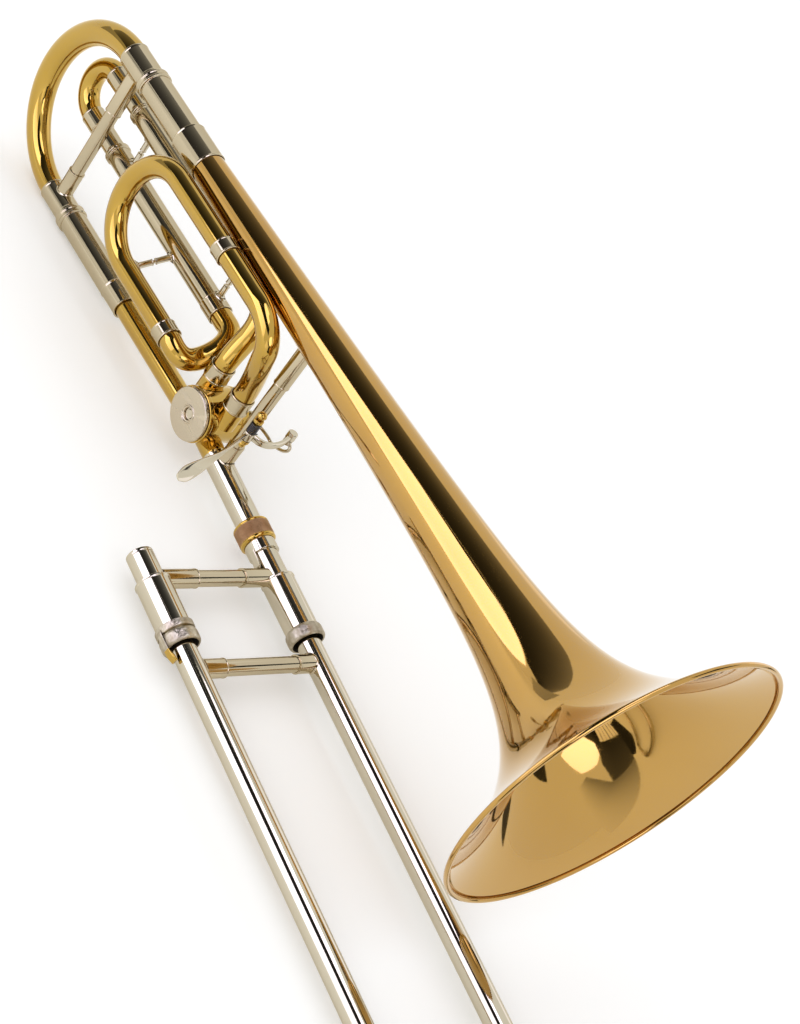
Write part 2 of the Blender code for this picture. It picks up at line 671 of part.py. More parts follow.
def make_tuning_slide(brass, nickel):
    """The main tuning slide, which draws rearward."""
    pivot = Vector((TUNING_END, 0.0, 0.0))
    upper = Vector((TUNING_END, 0.0, 0.0))
    lower = Vector((TUNING_END, TUNING_SPACING, 0.0))
    bend = half_turn(upper, lower, -U_AXIS, 12)
    path = [upper + U_AXIS * SEAT_DEPTH] + bend + [lower + U_AXIS * SEAT_DEPTH]
    radii = (CROOK_RADIUS_UPPER, CROOK_RADIUS_LOWER)
    bores = (CROOK_RADIUS_UPPER - WALL, CROOK_RADIUS_LOWER - WALL)
    piece("tuning_crook", swept(path, radii, bores), brass, pivot)
    legs = (("upper", upper, CROOK_RADIUS_UPPER, UPPER_INNER_RADIUS),
            ("lower", lower, CROOK_RADIUS_LOWER, LOWER_INNER_RADIUS))
    hosts = []
    for side, base, crook_radius, leg_radius in legs:
        seat = passing(crook_radius, GAP)
        body = max(seat, leg_radius) + FERRULE_WALL
        front = LEG_RING_START - GAP - TUNING_END
        profile = [(0.0, body), (front, body), (front, leg_radius - WALL),
                   (SEAT_DEPTH + GAP, leg_radius - WALL), (SEAT_DEPTH + GAP, seat), (0.0, seat)]
        piece("tuning_ferrule_" + side, turned(profile, base, U_AXIS), nickel, pivot)
        profile = pipe_profile(front + GAP, front + TUNING_INSERT, leg_radius, leg_radius - WALL)
        piece("tuning_leg_" + side, turned(profile, base, U_AXIS), nickel, pivot)
        hosts.append((Vector((TUNING_BRACE_AT, base.y, 0.0)), U_AXIS, body))
    start = Vector((TUNING_BRACE_AT, 0.0, 0.0))
    end = Vector((TUNING_BRACE_AT, TUNING_SPACING, 0.0))
    sleeves = (TUNING_BRACE_UPPER_SLEEVE + UPPER_INNER_RADIUS,
               TUNING_BRACE_LOWER_SLEEVE + LOWER_INNER_RADIUS)
    brace("tuning_brace", start, end, TUNING_BRACE_RADIUS, TUNING_BRACE_SLEEVE_RADIUS, sleeves, hosts, nickel)


def valve_point(u, v, w):
    """A place measured from the middle of the rotor."""
    return Vector((VALVE_U + u, VALVE_V + v, w))


def slide_port():
    """Where the neckpipe's axis leaves the casing's lower front knuckle."""
    station = (VALVE_U + KNUCKLE_REACH - SLIDE_POINT.x) / SLIDE_AXIS.x
    return slide_point(station)


def knuckles():
    """Outer end and inward direction of the four knuckles."""
    return (
        ("gooseneck", valve_point(-KNUCKLE_REACH, TUNING_SPACING - VALVE_V, 0.0), U_AXIS),
        ("slide", slide_port(), -SLIDE_AXIS),
        ("rear", valve_point(-PORT_OFFSET, F_PORT_V - VALVE_V, 0.0), V_AXIS),
        ("front", valve_point(PORT_OFFSET, F_PORT_V - VALVE_V, 0.0), V_AXIS),
    )


def make_valve(brass, nickel, rubber, steel):
    """Rotary valve: casing with four knuckles, rotor, front cap, rear plate, stop arm and bumpers."""
    centre = valve_point(0.0, 0.0, 0.0)
    bore = passing(ROTOR_RADIUS, RUN, LARGE_SIDES)
    casing_end = W_AXIS * CASING_HALF_LENGTH
    through = W_AXIS * CASING_HALF_LENGTH * 2.0
    body = rod(centre - casing_end, centre + casing_end, CASING_RADIUS, LARGE_SIDES, V_AXIS)
    casing = piece("valve_casing", body, brass)
    for name, outside, way in knuckles():
        tube = rod(outside, outside + way * KNUCKLE_LENGTH, KNUCKLE_RADIUS, TUBE_SIDES)
        add(casing, "knuckle_" + name, tube)
    cut(casing, "bore", rod(centre - through, centre + through, bore, LARGE_SIDES, V_AXIS))
    for name, outside, way in knuckles():
        port_start = outside - way * PORT_OVERSHOOT
        port_end = outside + way * (KNUCKLE_LENGTH - PORT_MARGIN)
        cut(casing, "port_" + name, rod(port_start, port_end, PORT_RADIUS, TUBE_SIDES))

    rotor_end = W_AXIS * ROTOR_HALF_LENGTH
    rotor_body = rod(centre - rotor_end, centre + rotor_end, ROTOR_RADIUS, LARGE_SIDES, V_AXIS)
    rotor = piece("rotor", rotor_body, brass, centre)
    front_end = CASING_HALF_LENGTH + CAP_THICKNESS - CAP_RECESS_DEPTH - GAP
    rear_end = CASING_HALF_LENGTH + PLATE_THICKNESS + STOP_ARM_THICKNESS + GAP
    add(rotor, "stem", rod(centre - W_AXIS * front_end, centre + W_AXIS * rear_end, STEM_RADIUS))
    passage_step = 2.0 * PASSAGE_HALF_ANGLE / (PASSAGE_POINTS - 1)
    for side in (1.0, -1.0):
        middle = centre + V_AXIS * side * ROTOR_RADIUS * sqrt(2.0)
        path = []
        for index in range(PASSAGE_POINTS):
            angle = radians(index * passage_step - PASSAGE_HALF_ANGLE)
            path.append(middle + ROTOR_RADIUS * (sin(angle) * U_AXIS - side * cos(angle) * V_AXIS))
        cut(rotor, "passage_%d" % (side + 1), swept(path, PASSAGE_RADIUS, None, ROD_SIDES))

    plug = ROTOR_RADIUS - GAP
    inner_face = ROTOR_HALF_LENGTH + GAP
    stem_bore = passing(STEM_RADIUS, RUN, ROD_SIDES)
    cap_foot = CASING_HALF_LENGTH + GAP
    cap_face = CASING_HALF_LENGTH + CAP_THICKNESS
    recess = cap_face - CAP_RECESS_DEPTH
    profile = [(inner_face, plug), (cap_foot, plug), (cap_foot, CAP_RADIUS), (cap_face, CAP_RADIUS),
               (cap_face, CAP_RECESS_RADIUS), (recess, CAP_RECESS_RADIUS), (recess, stem_bore),
               (inner_face, stem_bore)]
    piece("valve_cap", turned(profile, centre, -W_AXIS, LARGE_SIDES, True, V_AXIS), nickel)
    plate_face = CASING_HALF_LENGTH + PLATE_THICKNESS
    profile = [(inner_face, plug), (cap_foot, plug), (cap_foot, CAP_RADIUS), (plate_face, CAP_RADIUS),
               (plate_face, stem_bore), (inner_face, stem_bore)]
    piece("bearing_plate", turned(profile, centre, W_AXIS, LARGE_SIDES, True, V_AXIS), brass)

    half = ROTOR_TURN / 2.0
    pin_way = Vector((sin(half), -cos(half), 0.0))
    arm_low = plate_face + GAP
    arm_high = arm_low + STOP_ARM_THICKNESS - GAP
    arm_mid = (arm_low + arm_high) / 2.0
    hub_profile = pipe_profile(arm_low, arm_high, STOP_HUB_RADIUS, passing(STEM_RADIUS, GAP, ROD_SIDES))
    arm = piece("stop_arm", turned(hub_profile, centre, W_AXIS, ROD_SIDES, True, V_AXIS), nickel, centre)
    for name, way, reach in (("crank", pin_way, CRANK), ("tail", -pin_way, STOP_TAIL)):
        path = [centre + way * along + W_AXIS * arm_mid for along in (STOP_ARM_START, reach)]
        across = way.cross(W_AXIS)
        add(arm, name, bar(path, (STOP_ARM_WIDTH, STOP_ARM_WIDTH), STOP_ARM_THICKNESS - 2.0 * GAP, across))
    pin_base = centre + pin_way * CRANK
    pin_foot = pin_base + W_AXIS * (arm_low + BITE)
    pin_top = pin_base + W_AXIS * (arm_high + PIN_REACH)
    add(arm, "pin", rod(pin_foot, pin_top, PIN_RADIUS))

    clear = STOP_ARM_WIDTH / 2.0 + BUMPER_RADIUS + GAP
    stop_angle = half + asin(clear / BUMPER_CIRCLE)
    for name, side in (("front", 1.0), ("rear", -1.0)):
        way = Vector((side * sin(stop_angle), cos(stop_angle), 0.0))
        foot = centre + way * BUMPER_CIRCLE + W_AXIS * (plate_face + GAP)
        bumper = rod(foot, foot + W_AXIS * BUMPER_LENGTH, BUMPER_RADIUS, ROD_SIDES, V_AXIS)
        piece("stop_bumper_" + name, bumper, rubber)
    screw_foot = centre + W_AXIS * (rear_end + GAP)
    profile = [(0.0, SCREW_HEAD_RADIUS), (SCREW_HEAD_EDGE, SCREW_HEAD_RADIUS),
               (SCREW_HEAD_HEIGHT, SCREW_HEAD_RADIUS * SCREW_CROWN)]
    piece("stop_screw", turned(profile, screw_foot, W_AXIS, ROD_SIDES, False, V_AXIS), steel, centre)
    return arm_high


def hinge_point(v):
    """A place on the trigger's hinge axis."""
    return Vector((HINGE_U, v, HINGE_W))


def neck_at(u):
    """A place on the neckpipe's axis."""
    return slide_point((u - SLIDE_POINT.x) / SLIDE_AXIS.x)


def make_trigger(brass, nickel, steel, arm_high):
    """Thumb lever on its hinge rod, the bracket that carries it, the return coil and the link."""
    lugs = (HINGE_TOP_V + LUG_THICKNESS, HINGE_LOW_V - LUG_THICKNESS)
    lug_bore = passing(HINGE_ROD_RADIUS, GAP, ROD_SIDES)
    profile = pipe_profile(-LUG_THICKNESS / 2.0, LUG_THICKNESS / 2.0, LUG_RADIUS, lug_bore)
    towards = Vector((BRACE_U, 0.0, 0.0)) - Vector((HINGE_U, 0.0, HINGE_W))
    towards.normalize()
    spine = towards * SPINE_OFFSET
    overhang = V_AXIS * (LUG_THICKNESS / 2.0 + GAP)
    spine_ends = [hinge_point(lugs[0]) + spine - overhang, hinge_point(lugs[1]) + spine + overhang]
    spine_bar = bar(spine_ends, (SPINE_WIDTH, SPINE_WIDTH), SPINE_THICKNESS, towards.cross(V_AXIS))
    bracket = piece("trigger_bracket", spine_bar, brass)
    web_width = LUG_THICKNESS - GAP
    for index, v in enumerate(lugs):
        add(bracket, "lug_%d" % index, turned(profile, hinge_point(v), V_AXIS, ROD_SIDES))
        web = [hinge_point(v) + towards * along for along in (WEB_START, SPINE_OFFSET + BITE)]
        add(bracket, "web_%d" % index, bar(web, (web_width, web_width), WEB_THICKNESS, V_AXIS))
    saddle_v = (HINGE_TOP_V + HINGE_LOW_V) / 2.0
    saddle_end = Vector((BRACE_U, saddle_v, 0.0))
    saddle = bar([hinge_point(saddle_v) + spine, saddle_end], SADDLE_WIDTHS, SADDLE_THICKNESS, V_AXIS)
    add(bracket, "saddle", saddle)
    cut(bracket, "seat", tube_cutter(saddle_end, V_AXIS, BRACE_SLEEVE_RADIUS))

    ball = HINGE_BALL_RADIUS
    top_v = lugs[0] - LUG_THICKNESS / 2.0 - GAP
    low_v = lugs[1] + LUG_THICKNESS / 2.0 + GAP
    profile = [(top_v - height * ball, radius * ball) for height, radius in TOP_BALL]
    profile += [(top_v, HINGE_ROD_RADIUS), (low_v, HINGE_ROD_RADIUS)]
    profile += [(low_v + height * ball, radius * ball) for height, radius in LOW_BALL]
    piece("hinge_rod", turned(profile, hinge_point(0.0), V_AXIS, ROD_SIDES, False), brass)

    hub_bore = passing(HINGE_ROD_RADIUS, RUN, ROD_SIDES)
    profile = pipe_profile(-HUB_LENGTH / 2.0, HUB_LENGTH / 2.0, HUB_RADIUS, hub_bore)
    pivot = hinge_point(HUB_V)
    lever = piece("trigger_lever", turned(profile, pivot, V_AXIS, ROD_SIDES), nickel, pivot)
    path = []
    twists = []
    for share in PADDLE_SHARES:
        twists.append(PADDLE_TWIST * max(0.0, share - PADDLE_TWIST_FROM) / (1.0 - PADDLE_TWIST_FROM))
        forward = PADDLE_FORWARD * share ** PADDLE_FORWARD_POWER + PADDLE_BOW * sin(pi * share)
        path.append(pivot + Vector((forward, PADDLE_BOW * share, -share * PADDLE_REACH)))
    add(lever, "paddle", bar(path, PADDLE_WIDTHS, PADDLE_THICKNESS, V_AXIS, twists))
    eye = Vector((EYE_U, EYE_V, HINGE_W + TRIGGER_ARM))
    eye_low = eye - V_AXIS * EYE_HEIGHT / 2.0
    eye_high = eye + V_AXIS * EYE_HEIGHT / 2.0
    ring_at = eye_high + V_AXIS * (LINK_RING_WIDTH / 2.0 + 2.0 * GAP)
    path = flowing(pivot + ARM_START, ARM_LEAVES, eye + ARM_END, ARM_ARRIVES, ARM_STEPS)
    widths = [LEVER_WIDTH * (1.0 - ARM_TAPER * index) for index in range(len(path))]
    add(lever, "arm", bar(path, widths, LEVER_THICKNESS, V_AXIS))
    add(lever, "eye", rod(eye_low, eye_high, EYE_RADIUS, ROD_SIDES, W_AXIS))
    pin_start = eye_low + V_AXIS * EYE_PIN_START
    pin_end = ring_at + V_AXIS * (LINK_RING_WIDTH / 2.0 + EYE_PIN_REACH)
    add(lever, "eye_pin", rod(pin_start, pin_end, PIN_RADIUS, ROD_SIDES, W_AXIS))
    through = V_AXIS * HUB_LENGTH
    cut(lever, "hub_bore", rod(pivot - through, pivot + through, hub_bore, ROD_SIDES, W_AXIS))

    half = ROTOR_TURN / 2.0
    pin = valve_point(sin(half) * CRANK, -cos(half) * CRANK, arm_high + PIN_REACH + 2.0 * GAP)
    ring_bore = passing(PIN_RADIUS, RUN, ROD_SIDES)
    profile = pipe_profile(-LINK_RING_WIDTH / 2.0, LINK_RING_WIDTH / 2.0, EYE_RADIUS, ring_bore)
    link = piece("link_rod", turned(profile, ring_at, V_AXIS, ROD_SIDES), nickel, ring_at)
    far = pin + W_AXIS * LINK_RADIUS
    low = (ring_at + far) / 2.0 + LINK_SAG
    path = flowing(ring_at + LINK_START, LINK_LEAVES, low, LINK_AT_SAG, 6)
    path += flowing(low, LINK_AFTER_SAG, far, LINK_ARRIVES, 3)[1:]
    add(link, "shank", swept(path, LINK_RADIUS, None, ROD_SIDES))
    add(link, "button", rod(pin, pin + W_AXIS * LINK_BUTTON_HEIGHT, LINK_BUTTON_RADIUS))


def coil_points():
    """Centre line of the trigger's return spring round the hinge rod, with a leg to the lever."""
    start_v = HINGE_TOP_V + LUG_THICKNESS * 1.5 + GAP + SPRING_WIRE
    centre = hinge_point(0.0)
    points = []
    for index in range(SPRING_TURNS * SPRING_POINTS + 1):
        angle = 2.0 * pi * index / SPRING_POINTS
        v = start_v + SPRING_PITCH * index / SPRING_POINTS
        points.append(centre + Vector((SPRING_RADIUS * cos(angle), v, SPRING_RADIUS * sin(angle))))
    leg = W_AXIS * SPRING_LEG
    return [points[0] - leg] + points + [points[-1] + leg]


def least_gap(points, neighbours, wire):
    """Least clear distance of a wire to itself, leaving out points that follow each other."""
    least = 1.0
    for index, point in enumerate(points):
        for other in range(index + neighbours, len(points)):
            least = min(least, (points[other] - point).length - wire)
    return least


def make_spring(steel):
    """The return coil: one wire, six turns."""
    points = coil_points()
    curve = bpy.data.curves.new("trigger_spring", "CURVE")
    curve.dimensions = "3D"
    spline = curve.splines.new("POLY")
    spline.points.add(len(points) - 1)
    for point, place in zip(spline.points, points):
        point.co = (*place, 1.0)
    curve.bevel_depth = SPRING_WIRE / 2.0
    curve.bevel_resolution = 1
    curve.use_fill_caps = True
    curve.materials.append(steel)
    spring = bpy.data.objects.new("trigger_spring", curve)
    bpy.context.scene.collection.objects.link(spring)
    spring.matrix_world = HORN
    gap = least_gap(points, SPRING_POINTS - 2, SPRING_WIRE)
    print("trigger_spring: least gap to itself %.2f mm" % (gap * 1000.0))


def f_leg(name, v, end, surface):
    """An outer leg of the F slide: ring at the rear, wide ferrule at the front."""
    bore = F_LEG_RADIUS - F_LEG_WALL
    seat = passing(F_TUBE_RADIUS, GAP)
    wide = max(F_FERRULE_RADIUS, seat + SEAT_WALL)
    neck = end - F_FERRULE_LENGTH
    ring_end = F_RING_U + F_RING_LENGTH
    rim = F_LEG_RADIUS + F_RING_HEIGHT
    profile = [(F_RING_U, rim), (ring_end, rim), (ring_end, F_LEG_RADIUS), (neck, F_LEG_RADIUS), (neck, wide),
               (end, wide), (end, seat), (end - SEAT_DEPTH, seat), (end - SEAT_DEPTH, bore), (F_RING_U, bore)]
    piece(name, turned(profile, Vector((0.0, v, FAR_W)), U_AXIS), surface)


def ferrule(name, middle, surface):
    """A short sleeve over the joint of two straight tubes of the near loop."""
    half = F_SLEEVE_LENGTH / 2.0
    profile = pipe_profile(-half, half, sleeve_radius(), passing(F_TUBE_RADIUS, GAP))
    piece(name, turned(profile, middle, U_AXIS), surface)


def make_f_wrap(brass, nickel):
    """The fixed tubing of the F attachment."""
    radius = F_TUBE_RADIUS
    bore = F_TUBE_RADIUS - WALL
    front = Vector((VALVE_U + PORT_OFFSET, F_PORT_V, 0.0))
    rear = Vector((VALVE_U - PORT_OFFSET, F_PORT_V, 0.0))
    middle = Vector((F_MIDDLE_U, NEAR_RIGHT_V, NEAR_W))
    near_left = Vector((F_NEAR_FERRULE_U, NEAR_LEFT_V, NEAR_W))

    for name, port in (("front", front), ("rear", rear)):
        profile = pipe_profile(0.0, F_PORT_SLEEVE, sleeve_radius(), passing(radius, GAP))
        piece("f_ferrule_" + name, turned(profile, port - V_AXIS * GAP, -V_AXIS), nickel)
    port_seat = -V_AXIS * F_PORT_SEAT
    port_lead = -V_AXIS * F_PORT_LEAD
    way = F_BEND_WAY.normalized()
    straight = middle + U_AXIS * F_LEAD
    down, beside = F_CURVES["front_down"], F_CURVES["beside"]
    over, along = F_CURVES["over_top"], F_CURVES["along"]
    path = [front + port_seat] + flowing(front + port_lead, -V_AXIS * down, F_BEND, way * down, 3)
    path += flowing(F_BEND, way * beside, F_TOP, -U_AXIS * over, 5)[1:]
    path += flowing(F_TOP, -U_AXIS * along, straight, -U_AXIS * along, 2)[1:] + [middle + U_AXIS * GAP]
    piece("f_branch_front", swept(path, radius, bore), brass)
    ferrule("f_ferrule_middle", middle, nickel)

    right_end = Vector((F_BOW_U, NEAR_RIGHT_V, NEAR_W))
    left_end = Vector((F_BOW_U, NEAR_LEFT_V, NEAR_W))
    stretch = 2.0 * (F_BOW_U - F_BOW_APEX_U) / (NEAR_LEFT_V - NEAR_RIGHT_V)
    bow = half_turn(right_end, left_end, -U_AXIS, 10, stretch)
    piece("f_bow", swept([middle - U_AXIS * GAP] + bow + [near_left - U_AXIS * GAP], radius, bore), brass)
    ferrule("f_ferrule_near", near_left, nickel)

    far_left = Vector((F_LEFT_END_U, FAR_LEFT_V, FAR_W))
    u_start = Vector((F_U_BOW_U, NEAR_LEFT_V, NEAR_W))
    u_end = Vector((F_U_BOW_U, FAR_LEFT_V, FAR_W))
    way = F_U_BOW_WAY.normalized()
    bow = flowing(u_start, F_U_BOW_LEAVES, F_U_BOW_MIDDLE, way * F_CURVES["u_middle"], 5)
    bow += flowing(F_U_BOW_MIDDLE, way * F_CURVES["u_after"], u_end, -U_AXIS * F_CURVES["u_middle"], 5)[1:]
    path = [near_left + U_AXIS * GAP] + bow + [far_left - U_AXIS * (SEAT_DEPTH - GAP)]
    piece("f_u_bow", swept(path, radius, bore), brass)

    f_leg("f_leg_left", FAR_LEFT_V, F_LEFT_END_U, nickel)
    f_leg("f_leg_right", FAR_RIGHT_V, F_RIGHT_END_U, nickel)
    far_right = Vector((F_RIGHT_END_U, FAR_RIGHT_V, FAR_W))
    way = F_REAR_BEND_WAY.normalized()
    top = Vector((F_REAR_TOP_U, FAR_RIGHT_V, FAR_W))
    down = F_CURVES["rear_down"]
    path = [rear + port_seat] + flowing(rear + port_lead, -V_AXIS * down, F_REAR_BEND, way * down, 2)
    path += flowing(F_REAR_BEND, way * F_CURVES["rear_middle"], top, -U_AXIS * F_CURVES["rear_top"], 6)[1:]
    path.append(far_right - U_AXIS * (SEAT_DEPTH - GAP))
    piece("f_branch_rear", swept(path, radius, bore), brass)


def make_f_slide(brass, nickel):
    """The F tuning slide, which draws rearward out of its two outer legs."""
    pivot = Vector((F_CROOK_U, (FAR_LEFT_V + FAR_RIGHT_V) / 2.0, FAR_W))
    right = Vector((F_CROOK_U, FAR_RIGHT_V, FAR_W))
    left = Vector((F_CROOK_U, FAR_LEFT_V, FAR_W))
    inner = F_LEG_RADIUS - F_LEG_WALL - GAP
    bend = half_turn(right, left, -U_AXIS, 8)
    path = [right + U_AXIS * SEAT_DEPTH] + bend + [left + U_AXIS * SEAT_DEPTH]
    piece("f_crook", swept(path, F_TUBE_RADIUS, F_TUBE_RADIUS - WALL), brass, pivot)
    seat = passing(F_TUBE_RADIUS, GAP)
    outer = max(F_LEG_RADIUS, seat + SEAT_WALL)
    length = F_RING_U - F_CROOK_U + F_INSERT
    bore = inner - WALL
    profile = [(0.0, outer), (F_CROOK_FERRULE, outer), (F_CROOK_FERRULE, inner), (length, inner),
               (length, bore), (SEAT_DEPTH + GAP, bore), (SEAT_DEPTH + GAP, seat), (0.0, seat)]
    for side, base in (("right", right), ("left", left)):
        piece("f_inner_leg_" + side, turned(profile, base, U_AXIS), nickel, pivot)


def stay(name, start, start_radius, end, end_radius, surface):
    """A small two-part stay: feet on two parallel tubes, two sleeves and a thin waist between them."""
    axis = (end - start).normalized()
    length = (end - start).length
    foot = start_radius - STAY_FOOT_BITE
    far_foot = length - end_radius + STAY_FOOT_BITE
    foot_top = start_radius + STAY_FOOT_HEIGHT
    far_foot_top = length - end_radius - STAY_FOOT_HEIGHT
    middle = (foot + far_foot) / 2.0
    waist, far_waist = middle - STAY_WAIST_HALF, middle + STAY_WAIST_HALF
    profile = [(foot, STAY_FOOT_RADIUS), (foot_top, STAY_FOOT_RADIUS), (foot_top, STAY_SLEEVE_RADIUS),
               (waist, STAY_SLEEVE_RADIUS), (waist, STAY_WAIST_RADIUS), (far_waist, STAY_WAIST_RADIUS),
               (far_waist, STAY_SLEEVE_RADIUS), (far_foot_top, STAY_SLEEVE_RADIUS),
               (far_foot_top, STAY_FOOT_RADIUS), (far_foot, STAY_FOOT_RADIUS)]
    made = piece(name, turned(profile, start, axis, ROD_SIDES, False, axis.orthogonal()), surface)
    cut(made, "seat_0", tube_cutter(start, U_AXIS, start_radius, STAY_CUTTER))
    cut(made, "seat_1", tube_cutter(end, U_AXIS, end_radius, STAY_CUTTER))


def make_stays(nickel):
    """The three small stays of the F wrap."""
    near_left = Vector((STAY_NEAR_U, NEAR_LEFT_V, NEAR_W))
    far_left = Vector((STAY_NEAR_U, FAR_LEFT_V, FAR_W))
    stay("stay_near", near_left, F_TUBE_RADIUS, far_left, F_LEG_RADIUS, nickel)
    left = Vector((STAY_LEGS_U, FAR_LEFT_V, FAR_W))
    right = Vector((STAY_LEGS_U, FAR_RIGHT_V, FAR_W))
    stay("stay_legs", left, F_LEG_RADIUS, right, F_LEG_RADIUS, nickel)
    sleeve = max(F_FERRULE_RADIUS, passing(F_TUBE_RADIUS, GAP) + SEAT_WALL)
    left = Vector((STAY_FRONT_U, FAR_LEFT_V, FAR_W))
    right = Vector((STAY_FRONT_U, FAR_RIGHT_V, FAR_W))
    stay("stay_front", left, sleeve, right, F_TUBE_RADIUS, nickel)


def slide_turned(profile, across, surface, name):
    """A turned piece on one of the hand slide's tubes."""
    base = slide_point(0.0, across)
    piece(name, turned(profile, base, SLIDE_AXIS, TUBE_SIDES, True, SLIDE_ACROSS), surface, base)


def make_neck(brass, nickel):
    """Neckpipe, lock nut and the brace from the neckpipe to the bell."""
    start = (slide_port() - SLIDE_POINT).dot(SLIDE_AXIS) + GAP
    bore = TENON_RADIUS + GAP
    profile = pipe_profile(start, NECKPIPE_END, NECKPIPE_RADIUS, min(bore, NECKPIPE_RADIUS - NECKPIPE_WALL))
    slide_turned(profile, 0.0, nickel, "neckpipe")

    nut_bore = passing(NECKPIPE_RADIUS, RUN, LOCK_NUT_TEETH)
    rings = []
    low = LOCK_NUT_RADIUS - NUT_RIM_DROP
    knurl_start, knurl_end = LOCK_NUT_START + NUT_RIM, LOCK_NUT_END - NUT_RIM
    stations = ((LOCK_NUT_START, low - NUT_CHAMFER, False), (LOCK_NUT_START + NUT_RIM_DROP, low, False),
                (knurl_start, low, False), (knurl_start, LOCK_NUT_RADIUS, True),
                (knurl_end, LOCK_NUT_RADIUS, True), (knurl_end, low, False),
                (LOCK_NUT_END - NUT_RIM_DROP, low, False), (LOCK_NUT_END, low - NUT_CHAMFER, False),
                (LOCK_NUT_END, nut_bore, False), (LOCK_NUT_START, nut_bore, False))
    for station, radius, knurled in stations:
        centre = slide_point(station)
        points = ring(centre, SLIDE_AXIS, radius, LOCK_NUT_TEETH, SLIDE_ACROSS)
        if knurled:
            shares = [1.0 - KNURL_DEPTH * (index % 2) for index in range(LOCK_NUT_TEETH)]
            points = [centre + (point - centre) * share for point, share in zip(points, shares)]
        rings.append(points)
    piece("lock_nut", skin(rings, True), brass, slide_point((LOCK_NUT_START + LOCK_NUT_END) / 2.0))

    neck = neck_at(BRACE_U)
    bell_foot = Vector((BRACE_U, 0.0, 0.0))
    hosts = [(neck, SLIDE_AXIS, NECKPIPE_RADIUS), (bell_foot, U_AXIS, bell_radius(-BRACE_U) + BELL_SEAT_EASE)]
    brace("bell_brace", neck, bell_foot, BRACE_RADIUS, BRACE_SLEEVE_RADIUS, BELL_BRACE_SLEEVES, hosts, nickel)


def barrel_profile():
    """Section of a cork barrel: thick rear wall on the inner tube, open front with a wide collar."""
    hold = INNER_TUBE_RADIUS + GAP
    cup = BARREL_RADIUS - BARREL_WALL
    back = BARREL_START + BARREL_BACK
    ring_end = BARREL_START + BARREL_RING_LENGTH
    return [(BARREL_START, BARREL_RING_RADIUS), (ring_end, BARREL_RING_RADIUS), (ring_end, BARREL_RADIUS),
            (BARREL_END, BARREL_RADIUS), (BARREL_END + COLLAR_SLOPE, COLLAR_RADIUS),
            (COLLAR_END - COLLAR_SLOPE, COLLAR_RADIUS), (COLLAR_END, COLLAR_RADIUS - COLLAR_CHAMFER),
            (COLLAR_END, cup), (back, cup), (back, hold), (BARREL_START, hold)]


def make_fixed_slide(nickel):
    """The half of the hand slide that the player's left hand holds."""
    bore = INNER_TUBE_RADIUS - INNER_TUBE_WALL
    for side, across in (("lower", 0.0), ("upper", SLIDE_SPACING)):
        slide_turned(barrel_profile(), across, nickel, "cork_barrel_" + side)
        profile = pipe_profile(BARREL_START + GAP, INNER_TUBE_END, INNER_TUBE_RADIUS, bore)
        slide_turned(profile, across, nickel, "inner_tube_" + side)

    thread_start = NECKPIPE_END + GAP
    collar_start = LOCK_NUT_END + GAP
    receiver_end = BARREL_START - GAP
    thread = NECKPIPE_RADIUS - THREAD_EASE
    tenon_start = NECKPIPE_END - TENON_REACH
    profile = [(tenon_start, TENON_RADIUS - TENON_TAPER), (thread_start, TENON_RADIUS),
               (thread_start, thread), (collar_start, thread), (collar_start, TENON_COLLAR_RADIUS),
               (TENON_COLLAR_END, TENON_COLLAR_RADIUS), (TENON_COLLAR_END, RECEIVER_RADIUS),
               (receiver_end, RECEIVER_RADIUS), (receiver_end, bore),
               (tenon_start, TENON_RADIUS - TENON_WALL)]
    slide_turned(profile, 0.0, nickel, "neck_tenon")
    profile = [(RECEIVER_START, RECEIVER_RADIUS - RECEIVER_CHAMFER),
               (RECEIVER_START + RECEIVER_LIP, RECEIVER_RADIUS),
               (receiver_end, RECEIVER_RADIUS), (receiver_end, SHANK_BOTTOM_RADIUS),
               (RECEIVER_START, SHANK_MOUTH_RADIUS)]
    slide_turned(profile, SLIDE_SPACING, nickel, "mouthpiece_receiver")
    profile = pipe_profile(BARREL_START + GAP, BARREL_START + LEADPIPE_LENGTH, LEADPIPE_RADIUS,
                           LEADPIPE_RADIUS - LEADPIPE_WALL)
    slide_turned(profile, SLIDE_SPACING, nickel, "leadpipe")
    ends = (slide_point(HAND_BRACE_AT), slide_point(HAND_BRACE_AT, SLIDE_SPACING))
    hosts = [(end, SLIDE_AXIS, RECEIVER_RADIUS) for end in ends]
    sleeves = tuple(length + RECEIVER_RADIUS for length in HAND_BRACE_SLEEVES)
    made = brace("hand_brace", *ends, HAND_GRIP_RADIUS, HAND_GRIP_SLEEVE_RADIUS, sleeves, hosts, nickel)
    for index, across in enumerate((0.0, SLIDE_SPACING)):
        rear = slide_point(BARREL_START - GAP, across)
        front = slide_point(BARREL_START + HAND_BRACE_CUT, across)
        room = passing(BARREL_RING_RADIUS, GAP, LARGE_SIDES)
        cut(made, "barrel_%d" % index, rod(rear, front, room, LARGE_SIDES))
    collar = rod(slide_point(TENON_COLLAR_END - COLLAR_CUT), slide_point(TENON_COLLAR_END + GAP),
                 passing(TENON_COLLAR_RADIUS, GAP, LARGE_SIDES), LARGE_SIDES)
    cut(made, "collar", collar)


def bow_centre():
    """Middle of the slide bow's half circle."""
    return slide_point(OUTER_TUBE_END + BOW_LEAD, SLIDE_SPACING / 2.0)


def bow_path():
    """Centre line of the slide bow: straight, half a turn, straight."""
    lower = slide_point(OUTER_TUBE_END)
    upper = slide_point(OUTER_TUBE_END, SLIDE_SPACING)
    lead = SLIDE_AXIS * BOW_LEAD
    return [lower] + half_turn(lower + lead, upper + lead, SLIDE_AXIS, 12) + [upper]


